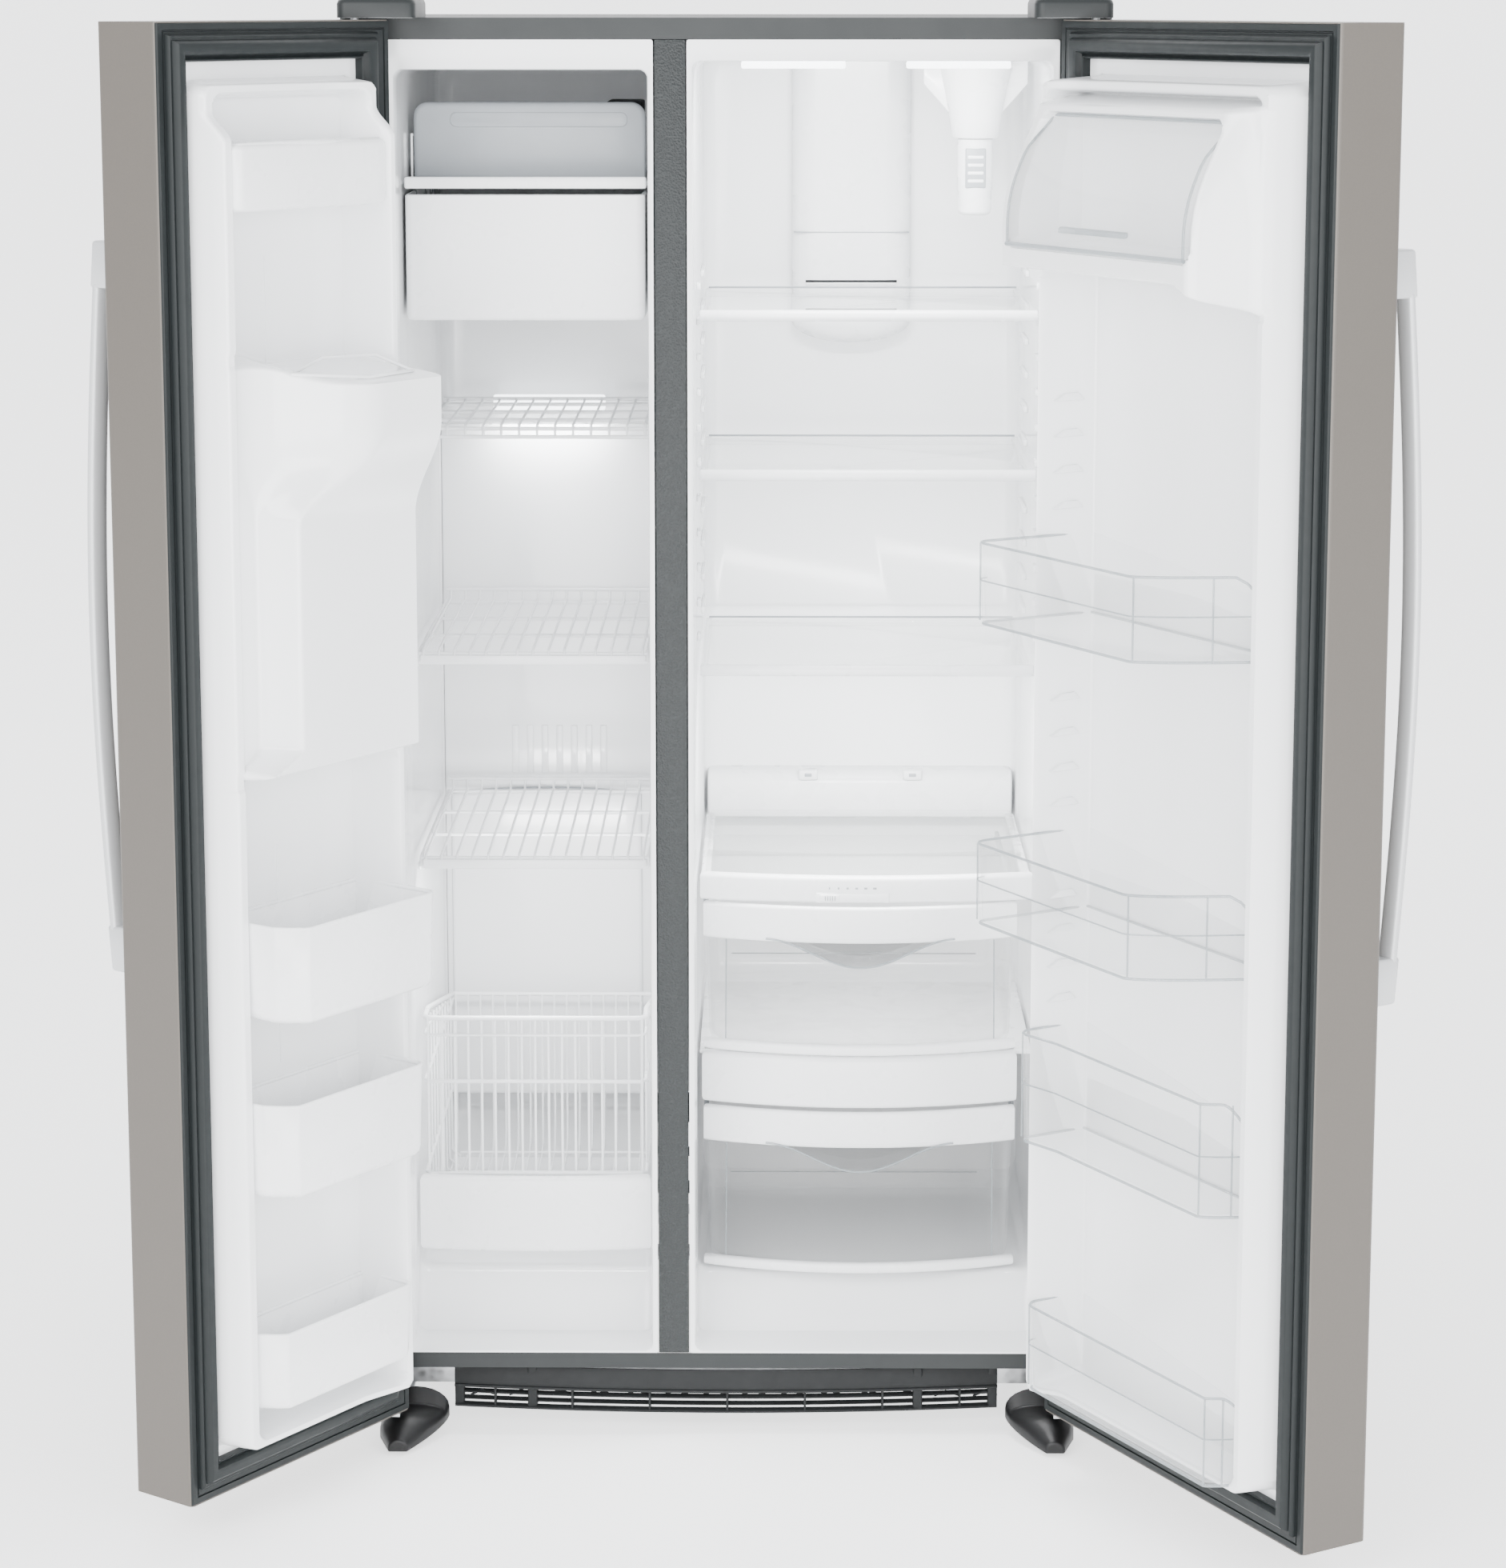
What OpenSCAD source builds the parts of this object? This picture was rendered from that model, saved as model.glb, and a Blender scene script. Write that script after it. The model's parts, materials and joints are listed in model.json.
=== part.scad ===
// Side by side refrigerator: freezer on the left, fresh food on the right, doors standing open.
// X runs to the right, -Y is the front and +Z is up. The origin is on the floor, at the case's centre.

/* [Case] */
// Width of the case
case_w = 908; // [860:1:940]
// Depth of the case without doors
case_d = 700; // [680:1:730]
// Height of the case
case_h = 1743; // [1700:1:1780]
// Height of the case's underside above the floor
case_lift = 80; // [70:1:90]
// Thickness of the case's sheet steel
sheet = 1.5; // [0.8:0.1:2]
// Thickness of the moulded liners
liner_t = 2.5; // [2:0.1:4]

/* [Compartments] */
// Left wall of the freezer compartment
freezer_x0 = -392; // [-396:1:-388]
// Right wall of the freezer compartment
freezer_x1 = -93; // [-95:1:-91]
// Left wall of the fresh food compartment
fridge_x0 = -39; // [-41:1:-37]
// Right wall of the fresh food compartment
fridge_x1 = 386; // [382:1:390]
// Ceiling of the freezer compartment
freezer_top = 1682; // [1675:1:1690]
// Ceiling of the fresh food compartment
fridge_top = 1692; // [1685:1:1695]
// Height of both compartment floors
floor_z = 170; // [166:1:176]
// Height of the front lip of both floors
lip_z = 101; // [99:1:110]
// Depth of the compartments behind the case's face
room_d = 600; // [590:1:610]

/* [Doors] */
// Angle that the freezer door stands open
freezer_open = 125; // [0:1:130]
// Angle that the fresh food door stands open
fridge_open = 120; // [0:1:125]
// Thickness of a door's painted skin
door_t = 90; // [84:1:96]
// Space that the gasket fills between a door and the case
gasket_gap = 16; // [14:1:20]
// Height of the doors' underside
door_z0 = 44; // [42:1:50]
// Height of the doors' top
door_z1 = 1741; // [1730:1:1742]
// Middle of the gap between the doors
split_x = -66; // [-68:1:-64]
// Gap between the two doors
split_gap = 5; // [4:0.5:8]
// Distance of the hinge pins from the middle of the case
pin_x = 431; // [429:1:434]
// Distance of the hinge pins in front of the case
pin_out = 48; // [46:1:52]
// Radius of the hinge pins
pin_r = 5; // [4:0.5:6]
// Length of the door handles
handle_l = 841; // [800:1:860]
// Height of the handles' lower end
handle_z = 657; // [640:1:700]
// Distance of a handle's bar in front of its door
handle_out = 36; // [30:1:44]
// How far a handle's middle stands out beyond its ends.
handle_bow = 25; // [8:1:30]

/* [Storage] */
// Heights of the three glass shelves
shelf_z = [1372, 1174, 928];
// Distance of the glass shelves' front behind the case's face
shelf_front = 154; // [150:1:170]
// Heights of the three wire shelves' front rails
wire_z = [1226, 958, 698];
// Distances of the wire shelves' fronts behind the case's face
wire_front = [250, 130, 130];
// Thickness of the wire in the shelves and the basket
wire = 5; // [4:0.5:6]
// Heights of the underside and the rim of the three freezer door bins
freezer_bin_z = [[619, 733], [410, 522], [152, 246]];
// How far each freezer door bin stands out from the door
freezer_bin_d = [112, 91, 68];
// Heights of the underside and the rim of the four fresh food door bins
fridge_bin_z = [[1052, 1150], [698, 797], [425, 560], [114, 222]];
// How far each fresh food door bin stands out from the door
fridge_bin_d = [150, 150, 75, 70];

/* [Hidden] */
face = -case_d / 2;
back = case_d / 2;
half = case_w / 2;
band_z = 1718;
mullion_x0 = freezer_x1 + 8;
mullion_x1 = fridge_x0 - 8;
pin_y = face - pin_out;
door_back = face - gasket_gap;
door_front = door_back - door_t;
freezer_door = [-half, split_x - split_gap / 2];
fridge_door = [split_x + split_gap / 2, half];
seal = 0.4;
fit = 0.06;
axle_r = 4;
flap_r = 1.5;
paddle_r = 2.5;
cover_r = 2;
steel = [0.36, 0.38, 0.39];
slate = [0.55, 0.52, 0.49];
white = [0.93, 0.94, 0.95];
clear = [0.8, 0.88, 0.92, 0.45];
dark = [0.2, 0.22, 0.23];
metal = [0.78, 0.79, 0.8];
grey = [0.6, 0.62, 0.64];
black = [0.05, 0.05, 0.06];
$fn = 48;

// ---- shared shapes -------------------------------------------------------------------------

// A box between two corners.
module span(low, high) translate(low) cube(high - low);

// A cylinder from one point, along X, Y or Z.
module rod_x(at, r, l) translate(at) rotate([0, 90, 0]) cylinder(h = l, r = r);
module rod_y(at, r, l) translate(at) rotate([-90, 0, 0]) cylinder(h = l, r = r);
module rod_z(at, r, l) translate(at) cylinder(h = l, r = r);

// An outline in the Y-Z plane, run along X from x0 to x1.
module along_x(x0, x1) translate([x0, 0, 0]) rotate([90, 0, 90]) linear_extrude(x1 - x0) children();

function arc(cx, cy, r, a0, a1, n = 5) =
  [for (i = [0:n]) [cx + r * cos(a0 + (a1 - a0) * i / n), cy + r * sin(a0 + (a1 - a0) * i / n)]];

// A rectangle with rounded corners, as points.
function rounded(x0, y0, x1, y1, r) = concat(
  arc(x1 - r, y1 - r, r, 0, 90), arc(x0 + r, y1 - r, r, 90, 180),
  arc(x0 + r, y0 + r, r, 180, 270), arc(x1 - r, y0 + r, r, 270, 360));

// A strip that is flat at y_back and bulges by bow beyond y_front.
function bowed(x0, x1, y_back, y_front, bow, power = 2, n = 12) = concat(
  [[x1, y_back], [x0, y_back]], [for (i = [0:n]) [x0 + (x1 - x0) * i / n,
    y_front + sign(y_front - y_back) * bow * (1 - pow(abs(2 * i / n - 1), power))]]);

// A strip of even thickness that bows forward between its ends.
function bent(x0, x1, y_back, y_front, bow, n = 12) = concat(
  [for (i = [0:n]) [x0 + (x1 - x0) * i / n, y_front - bow * (1 - pow(2 * i / n - 1, 2))]],
  [for (i = [n:-1:0]) [x0 + (x1 - x0) * i / n, y_back - bow * (1 - pow(2 * i / n - 1, 2))]]);

// A door bin's plan: h is its hinge end, e its other end, where the front curves back over a
// length of knee by cut. deep is the depth at the hinge end and w an inset.
function bin_plan(h, e, depth, deep, knee, cut, w, n = 8) = let(s = sign(e - h)) concat(
  [[e - s * w, door_back + 1 + w], [h + s * w, door_back + 1 + w], [h + s * w, face + deep - w],
    [h + s * 70, face + depth - w]],
  [for (i = [0:n]) [e - s * (w + knee * (1 - i / n)), face + depth - w - cut * pow(i / n, 1.4)]]);

// An open-topped tray with a bowed front.
module tray(x0, x1, y_back, y_front, bow, z0, z1, wall, power = 2) difference() {
  inwards = wall * sign(y_back - y_front);
  translate([0, 0, z0]) linear_extrude(z1 - z0) polygon(bowed(x0, x1, y_back, y_front, bow, power));
  translate([0, 0, z0 + wall]) linear_extrude(z1 - z0)
    polygon(bowed(x0 + wall, x1 - wall, y_back - inwards, y_front + inwards, bow, power));
}

// Places a shape that is drawn with its door shut onto the door as it stands open.
module on_freezer_door() translate([-pin_x, pin_y, 0]) rotate([0, 0, -freezer_open])
  translate([pin_x, -pin_y, 0]) children();
module on_fridge_door() translate([pin_x, pin_y, 0]) rotate([0, 0, fridge_open])
  translate([-pin_x, -pin_y, 0]) children();

// ---- case ----------------------------------------------------------------------------------

// The wrap: two sides and a top, with the front flange folded from the same sheet.
module case_shell() color(steel) difference() {
  span([-half, face, case_lift], [half, back, case_h]);
  span([-half + sheet, face + sheet, case_lift - 1], [half - sheet, back + 1, case_h - sheet]);
  span([freezer_x0 - 8, face - 1, case_lift + 19], [mullion_x0, face + 3, band_z]);
  span([mullion_x0 - 1, face - 1, case_lift + 19], [mullion_x1 + 1, face + 3, band_z]);
  span([mullion_x1, face - 1, case_lift + 19], [fridge_x1 + 8, face + 3, band_z]);
}

module back_panel() color(grey) difference() {
  span([-half + sheet + 0.5, back - sheet, 232], [half - sheet - 0.5, back, case_h - sheet - 0.5]);
  for (x = [-300, -100, 100, 300], z = [300, 1000, 1690]) rod_y([x, back - 4, z], 2.2, 6);
}

module mullion_cover() color(dark) span([mullion_x0 + 0.3, face, case_lift + 19.5],
  [mullion_x1 - 0.3, face + 3, band_z - 0.5]);

// A compartment's outline seen from the side, grown by e: the floor rises behind its front lip
// and again over the machine compartment.
function room_outline(top, step_y, step_z, e) = [
  [face, lip_z - min(e, 1)], [face + 3, lip_z - min(e, 1)], [face + 4, lip_z - e],
  [face + 74 + e / 2, lip_z - e], [face + 118 + e / 2, floor_z - e],
  [face + step_y + e, floor_z - e], [face + step_y + e, step_z - e],
  [face + room_d + e, step_z + 40 - e], [face + room_d + e, top + e], [face, top + e]];

module room(x0, x1, top, step_y, step_z) color(white) {
  difference() {
    along_x(x0 - liner_t, x1 + liner_t) polygon(room_outline(top, step_y, step_z, liner_t));
    along_x(x0, x1) polygon(concat([[face - 1, lip_z]], room_outline(top, step_y, step_z, 0),
      [[face - 1, top]]));
  }
  span([x0 - 7.5, face, top + liner_t - 0.1], [x1 + 7.5, face + 2, band_z - 0.5]);
  for (x = [x0 - 7.5, x1 + liner_t - 0.1])
    span([x, face, lip_z], [x + 5.1, face + 2, top + liner_t]);
}
module freezer_liner() room(freezer_x0, freezer_x1, freezer_top, 520, 190);
module fridge_liner() room(fridge_x0, fridge_x1, fridge_top, 470, 400);

// ---- chassis and base ----------------------------------------------------------------------

module base_frame() color(steel) difference() {
  union() {
    for (s = [-1, 1]) {
      span([s * 440 - 6, face + 4, 40], [s * 440 + 6, back - 3, case_lift - 0.5]);
      span([s * 415 - 22, face + 4, 40], [s * 415 + 22, face + 60, 46]);
    }
    span([-440, face + 40, 46], [440, face + 46, case_lift - 0.5]);
    span([-440, 120, 60], [440, 170, 66]);
    span([-440, back - 30, 60], [440, back - 3, 66]);
    for (s = [-1, 1]) {
      span([s * 415 - 22, back - 74, 60], [s * 415 + 22, back - 3, 66]);
      for (x = [-20, 14]) span([s * 415 + x, back - 72, 9], [s * 415 + x + 6, back - 48, 61]);
    }
  }
  for (s = [-1, 1]) rod_z([s * 415, face + 34, 30], 5.06, 60);
  for (s = [-1, 1]) rod_x([s * 415 - 30, back - 60, 19], axle_r + fit, 60);
}

// The toe grille: a bowed band over louvres, set back under the case so that the doors can shut.
module base_grille() color(dark) {
  for (z = [[47, 76], [38, 41], [29, 32], [20, 25]])
    translate([0, 0, z[0]]) linear_extrude(z[1] - z[0])
      polygon(bowed(-342, 338, face + 32, face + 24, 22));
  for (i = [-3:3]) span([i * 97 - 2, face + 26, 21], [i * 97 + 2, face + 31, 75]);
  for (x = [-342, -250, 232, 326]) span([x, face + 25, 20], [x + 12, face + 39.8, 76]);
}

// Covers over the front legs, each sweeping forward to a foot.
module leg_covers() color(black) for (s = [-1, 1]) difference() {
  translate([0, 0, 4]) linear_extrude(30) polygon([for (p = concat(
    [[346, face - 3], [346, face - 18]],
    arc(392, face - 62, 30, 215, 360), [[430, face - 20], [430, face - 3]])) [s * p[0], p[1]]]);
  rod_z([s * 400, face - 62, 12], 14, 40);
}

module levelling_legs() color(metal) for (s = [-1, 1]) {
  rod_z([s * 415, face + 34, 8], 5, 78 - 8);
  rod_z([s * 415, face + 34, 0], 18, 8);
}

// Both rear rollers, with their axles.
module rear_rollers() color(dark) for (s = [-1, 1]) {
  rod_x([s * 415 - 10, back - 60, 19], 19, 20);
  rod_x([s * 415 - 23, back - 60, 19], axle_r, 46);
}

// Each top hinge: a plate on the case, and a pin down into the door.
module top_hinges() color(metal) for (s = [-1, 1]) {
  difference() {
    span([s * 405 - 42, pin_y - 16, case_h], [s * 405 + 42, face + 70, case_h + 4]);
    for (y = [20, 50], x = [-20, 20]) rod_z([s * 405 + x, face + y, case_h - 1], 3.2, 6);
  }
  rod_z([s * pin_x, pin_y, door_z1 - 25], pin_r, case_h - door_z1 + 25.2);
}

module hinge_covers() color(steel) for (s = [-1, 1]) difference() {
  translate([0, 0, case_h + 0.2]) linear_extrude(22) polygon(rounded(s * 405 - 46, pin_y - 20,
    s * 405 + 46, face + 78, 9));
  span([s * 405 - 43, pin_y - 17, case_h - 1], [s * 405 + 43, face + 75, case_h + 19]);
}

module bottom_hinges() color(metal) for (s = [-1, 1]) {
  span([s * 425 - 22, pin_y - 12, door_z0 - 6], [s * 425 + 22, face + 3.5, door_z0 - 2]);
  span([s * 425 - 22, face - 0.2, door_z0 - 2], [s * 425 + 22, face + 3.5, case_lift - 1]);
  rod_z([s * pin_x, pin_y, door_z0 - 2.2], pin_r, 27);
}

// ---- machine compartment -------------------------------------------------------------------

module compressor() color(black) {
  rod_z([290, back - 105, 100], 78, 110);
  translate([290, back - 105, 210]) difference() {
    sphere(r = 78);
    translate([-90, -90, -180]) cube([180, 180, 180]);
  }
  span([200, back - 180, 90], [380, back - 30, 100]);
  for (x = [210, 370], y = [-170, -40]) rod_z([x, back + y, 66], 9, 24);
  rod_z([250, back - 45, 92], 4, 60);
}

// The condenser: four tiers of straight tube runs, joined in turn by return blocks.
module condenser_coil() color(black) for (k = [0:3]) translate([0, 0, 88 + k * 28]) {
  for (i = [0:5]) rod_x([-330, back - 170 + i * 26, 0], 4, 170);
  for (i = [0:4]) span([i % 2 == 0 ? -166 : -334, back - 176 + i * 26, -5],
    [i % 2 == 0 ? -156 : -324, back - 138 + i * 26, 5]);
  if (k < 3) span([-334, back - 46, -5], [-324, back - 34, 33]);
}

module fan_motors() color(grey) {
  rod_x([-20, back - 110, 150], 28, 50);
  span([-15, back - 150, 66], [15, back - 70, 124]);
  rod_y([-240, face + room_d - 16, 640], 24, 14);
}

// A fan of five blades about a hub that points along -Y.
module blades(r, hub, depth) {
  rotate([90, 0, 0]) difference() {
    union() {
      cylinder(h = depth, r = hub);
      for (i = [0:4]) rotate([0, 0, i * 72]) translate([hub - 2, -9, depth / 3])
        cube([r - hub, 18, 3]);
    }
    translate([0, 0, -1]) cylinder(h = depth / 2, r = 3.06);
  }
}
module condenser_fan() color(dark) translate([-21.5, back - 110, 150]) rotate([0, 0, -90])
  blades(62, 18, 18);

module evaporator() color(metal) {
  for (i = [0:17]) span([-372 + i * 15.5, face + 568, 292], [-370.8 + i * 15.5, face + 594, 560]);
  for (k = [0:6]) rod_x([-378, face + 581, 312 + k * 38], 4, 276);
}

module evaporator_fan() color(grey) translate([-240, face + room_d - 18, 640]) blades(50, 16, 14);

module drain_pan() color(black) difference() {
  span([-345, back - 185, 67], [-140, back - 25, 79]);
  span([-342, back - 182, 69.5], [-143, back - 28, 90]);
}

module control_box() color(grey) difference() {
  span([-340, back - 70, 1010], [-160, back - 4, 1220]);
  span([-336, back - 66, 1014], [-164, back - 8, 1216]);
}

module water_valve() color(metal) {
  span([-420, back - 60, 110], [-370, back - 12, 165]);
  rod_y([-395, back - 12.1, 138], 5.5, 22);
}

module compressor_cover() color(dark) difference() {
  span([-half + sheet + 0.5, back - sheet, case_lift + 1], [half - sheet - 0.5, back, 230]);
  rod_y([-395, back - 4, 138], 7, 8);
  rod_y([420, back - 4, 120], 11.1, 8);
  for (i = [0:9], z = [100, 150]) span([-300 + i * 32, back - 4, z], [-286 + i * 32, back + 1, z + 36]);
}

// The gland that the supply lead would pass through.
module cord_gland() color(black) difference() {
  union() {
    rod_y([420, back - 8, 120], 11, 14);
    rod_y([420, back + 0.1, 120], 15, 6);
    rod_y([420, back - 8, 120], 14, 6);
  }
  rod_y([420, back - 9, 120], 5, 20);
}

// ---- freezer compartment -------------------------------------------------------------------

module freezer_back_cover() color(white) difference() {
  union() {
    span([freezer_x0 + 3, face + 560, 270], [freezer_x1 - 3, face + 563, 1200]);
    span([-384, face + 552, 270], [-124, face + 560, 690]);
    span([-384, face + 556, 690], [-124, face + 560, 702]);
  }
  for (i = [0:6]) span([-300 + i * 20, face + 540, 720], [-290 + i * 20, face + 570, 790]);
}

module lamp_covers() color([0.97, 0.98, 1]) {
  span([-334, face + 548, 1203], [-170, face + 560 - 0.2, 1240]);
  for (x = [18, 214]) span([x, face + 24, fridge_top - 9], [x + 124, face + 44, fridge_top - 0.2]);
}

// The ice maker with its front shield and mould.
module icemaker() color(grey) {
  difference() {
    span([-384, face + 150, 1546], [-100, face + 300, 1640]);
    span([-376, face + 156, 1560], [-108, face + 294, 1650]);
    span([-210, face + 149, 1546 - 1], [-140, face + 157, 1580]);
  }
  for (i = [0:6]) span([-365 + i * 36, face + 156, 1560], [-362 + i * 36, face + 294, 1590]);
  for (x = [-380, -108]) span([x, face + 200, 1640], [x + 4, face + 260, freezer_top - 0.3]);
}

// The wire arm that senses the ice level.
module icemaker_arm() color(metal) {
  rod_x([-386.5, face + 170, 1600], 1.5, 2.3);
  span([-389, face + 168.5, 1548.5], [-386.4, face + 171.5, 1601.5]);
  span([-389, face + 170, 1548.5], [-386.4, face + 240, 1551.5]);
}

module freezer_top_shelf() color(clear) {
  span([freezer_x0 + 4, face + 76, 1541], [freezer_x1 - 4, face + 540, 1544]);
  span([freezer_x0 + 4, face + 70, 1539], [freezer_x1 - 4, face + 77, 1553]);
}

module ice_bucket() color(white) difference() {
  span([-388, face + 70, 1380], [-99, face + 500, 1532]);
  span([-383, face + 76, 1386], [-104, face + 495, 1540]);
  span([-262, face + 90, 1370], [-210, face + 140, 1390]);
  rod_y([-236, face + 480, 1418], 6.05, 30);
}

// The auger that drives ice to the bucket's chute: a shaft with angled paddles.
module ice_auger() color(metal) {
  rod_y([-236, face + 90, 1418], 6, 430);
  for (i = [0:15]) translate([-236, face + 110 + i * 23, 1418]) rotate([90, i * 45, 0])
    translate([-4, 0, 0]) cube([8, 24, 3]);
}

// A shelf of wires on three cross wires, with a front rail.
module wire_shelf(z, y0) {
  x0 = freezer_x0 + 4;
  x1 = freezer_x1 - 4;
  for (y = [y0, (y0 + 540) / 2, 535]) span([x0, face + y, z], [x1, face + y + wire, z + wire]);
  for (i = [0:12]) span([x0 + 8 + i * 22, face + y0, z + wire], [x0 + 11 + i * 22, face + 540, z + wire + 3]);
  span([x0, face + y0, z - 12], [x1, face + y0 + wire, z - 12 + wire]);
  for (i = [0:2]) span([x0 + i * (x1 - x0 - wire) / 2, face + y0, z - 12],
    [x0 + i * (x1 - x0 - wire) / 2 + wire, face + y0 + wire, z + 1]);
}
module wire_shelves() color(white) for (i = [0:2]) wire_shelf(wire_z[i], wire_front[i]);

// The freezer's pull-out basket: a base of wires, upright wires and a rim.
module freezer_basket() color(white) {
  x0 = freezer_x0 + 8;
  x1 = freezer_x1 - 8;
  y0 = face + 96;
  y1 = face + 510;
  for (z = [300, 420, 500]) {
    span([x0, y0, z], [x1, y0 + wire, z + wire]);
    for (x = [x0, x1 - wire]) span([x, y0, z], [x + wire, y1, z + wire]);
  }
  for (z = [300, 420]) span([x0, y1 - wire, z], [x1, y1, z + wire]);
  for (i = [0:10]) {
    x = x0 + i * (x1 - x0 - wire) / 10;
    span([x, y0, 205], [x + wire, y0 + wire, 505]);
    span([x, y1 - wire, 205], [x + wire, y1, i == 0 || i == 10 ? 505 : 425]);
    span([x, y0, 205], [x + wire, y1, 210]);
  }
  for (i = [1:7], x = [x0, x1 - wire])
    span([x, y0 + i * 51, 205], [x + wire, y0 + i * 51 + wire, 505]);
}

module basket_front() color(white) translate([0, 0, 203]) linear_extrude(98)
  polygon(bowed(freezer_x0 + 4, freezer_x1 - 4, face + 95.5, face + 88, 12));

// ---- fresh food compartment ----------------------------------------------------------------

// A channelled housing for cold air against the rear wall, with a rounded lower end.
module air_tower() color(white) difference() {
  translate([0, face + room_d - 0.3, 0]) rotate([90, 0, 0]) linear_extrude(40)
    polygon(concat([[238, 1685], [80, 1685]],
      [for (i = [0:16]) [159 - 79 * cos(i * 11.25), 1338 - 30 * sin(i * 11.25)]]));
  for (z = [1352, 1390]) span([98, face + room_d - 45, z], [220, face + room_d - 30, z + 5]);
}

module filter_head() color(white) {
  translate([312, face + 350, 1590]) difference() {
    cylinder(h = 98, r = 46);
    translate([0, 0, -1]) cylinder(h = 60, r = 24.05);
  }
}

module filter_cartridge() color(white) {
  rod_z([312, face + 350, 1492], 23, 100);
  rod_z([312, face + 350, 1590], 24, 30);
}

// The frame round each glass shelf: two side rails, a rear rail and a front nose.
module shelf_frame(z) {
  x0 = fridge_x0 + 4;
  x1 = fridge_x1 - 4;
  difference() {
    span([x0, face + shelf_front, z], [x1, face + 540, z + 14]);
    span([x0 + 12, face + shelf_front + 12, z - 1], [x1 - 12, face + 528, z + 15]);
    span([x0 + 6, face + shelf_front + 6, z + 6], [x1 - 6, face + 534, z + 10.4]);
  }
}
module shelf_frames() color(white) for (z = shelf_z) shelf_frame(z);

// The sheets of toughened glass in the shelves and over the upper drawer.
module shelf_panes() color([0.75, 0.86, 0.85, 0.4]) {
  for (z = shelf_z) span([fridge_x0 + 10.2, face + shelf_front + 6.2, z + 6.2],
    [fridge_x1 - 10.2, face + 533.8, z + 10.2]);
  translate([0, 0, 671]) linear_extrude(4)
    polygon(bowed(fridge_x0 + 10, fridge_x1 - 10, face + 540, face + 134.5, 23));
}

module crisper_cover() color(white) difference() {
  union() {
    translate([0, 0, 650]) linear_extrude(34)
      polygon(bent(fridge_x0 + 4, fridge_x1 - 4, face + 134, face + 120, 24));
    for (x = [fridge_x0 + 4, fridge_x1 - 16]) span([x, face + 126, 660], [x + 12, face + 540, 670.8]);
  }
  span([110, face + 94, 652], [204, face + 102, 664]);
}

module humidity_slider() color(grey) span([114, face + 94, 653], [140, face + 101.8, 663]);

// A drawer with a bowed front: a clear tray with a finger lip along its top.
module drawer(z0, z1, depth) {
  x0 = fridge_x0 + 8;
  x1 = fridge_x1 - 24;
  tray(x0, x1, face + depth, face + 126, 36, z0, z1, 3);
  for (band = [[z1 - 46, 46], [z0, 18]]) translate([0, 0, band[0]]) linear_extrude(band[1])
    polygon(bent(x0, x1, face + 126.1, face + 118, 36));
}
module crisper_drawer() color(clear) drawer(458, 648, 530);
module lower_drawer() color(clear) drawer(174, 384, 450);

// The bowed cover between the two drawers, on its side runners.
module drawer_cover() color(white) {
  translate([0, 0, 388]) linear_extrude(66)
    polygon(bent(fridge_x0 + 6, fridge_x1 - 22, face + 132, face + 120, 34));
  translate([0, 0, 448]) linear_extrude(6)
    polygon(bowed(fridge_x0 + 3, fridge_x1 - 3, face + 465, face + 131, 34));
}

module rear_cover() color(white) {
  span([fridge_x0 + 2, face + 560, 657], [fridge_x1 - 2, face + room_d - 0.4, 725]);
  for (x = [90, 232]) span([x, face + 556, 716], [x + 14, face + 561, 726]);
}

// ---- doors, drawn shut and then turned open ------------------------------------------------

// A folded steel skin: a front sheet with four returns, and bushes for the hinge pins.
module door_skin(x, s) difference() {
  union() {
    difference() {
      translate([0, 0, door_z0]) linear_extrude(door_z1 - door_z0)
        polygon(rounded(x[0], door_front, x[1], door_back, 6));
      span([x[0] + sheet, door_front + sheet, door_z0 + sheet],
        [x[1] - sheet, door_back + 1, door_z1 - sheet]);
    }
    for (z = [door_z0, door_z1 - 30]) span([s * pin_x - 13, pin_y - 13, z], [s * pin_x + 13, pin_y + 13, z + 30]);
  }
  for (z = [door_z0 - 1, door_z1 - 27]) rod_z([s * pin_x, pin_y, z], pin_r + fit, 28);
}

// The rear of a door: a plate with two raised dikes that run its height.
module door_liner(x, dikes, z0, z1) {
  span([x[0] + 2, door_back - 3, door_z0 + 3], [x[1] - 2, door_back - 0.2, door_z1 - 3]);
  for (d = dikes) along_x(d[0], d[1]) polygon([[door_back - 1, z0], [face - 1, z0 + 11],
    [face + d[2], z0 + 27], [face + d[2], z1 - 40], [door_back - 1, z1]]);
}

// A frame of soft seal. Each side has its own margin and width.
module door_gasket(x, out, wide) difference() {
  span([x[0] + out[0], door_back, door_z0 + 19], [x[1] - out[1], face - seal, door_z1 - 14]);
  span([x[0] + out[0] + wide[0], door_back - 1, door_z0 + 48],
    [x[1] - out[1] - wide[1], face, door_z1 - 44]);
}

// A long bar that stands off its door on two posts.
module door_handle(x) {
  y = door_front - handle_out;
  n = 24;
  along_x(x - 12, x + 12) polygon(concat(
    [for (i = [0:n]) [y - 8 - handle_bow * sin(180 * i / n), handle_z + handle_l * i / n]],
    [for (i = [n:-1:0]) [y + 8 - handle_bow * sin(180 * i / n), handle_z + handle_l * i / n]]));
  for (z = [handle_z + 4, handle_z + handle_l - 54])
    span([x - 10, y, z], [x + 10, door_front - 0.1, z + 50]);
}

module door_bin(h, e, z, depth, deep, knee, cut) difference() {
  translate([0, 0, z[0]]) linear_extrude(z[1] - z[0]) polygon(bin_plan(h, e, depth, deep, knee, cut, 0));
  translate([0, 0, z[0] + 3]) linear_extrude(z[1] - z[0])
    polygon(bin_plan(h, e, depth, deep, knee, cut, 3));
}

module freezer_bin(i) door_bin(-371.5, -124.5, freezer_bin_z[i], freezer_bin_d[i], freezer_bin_d[i], 24, 34);

recess = [-340, -180, 960, 1300];

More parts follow.
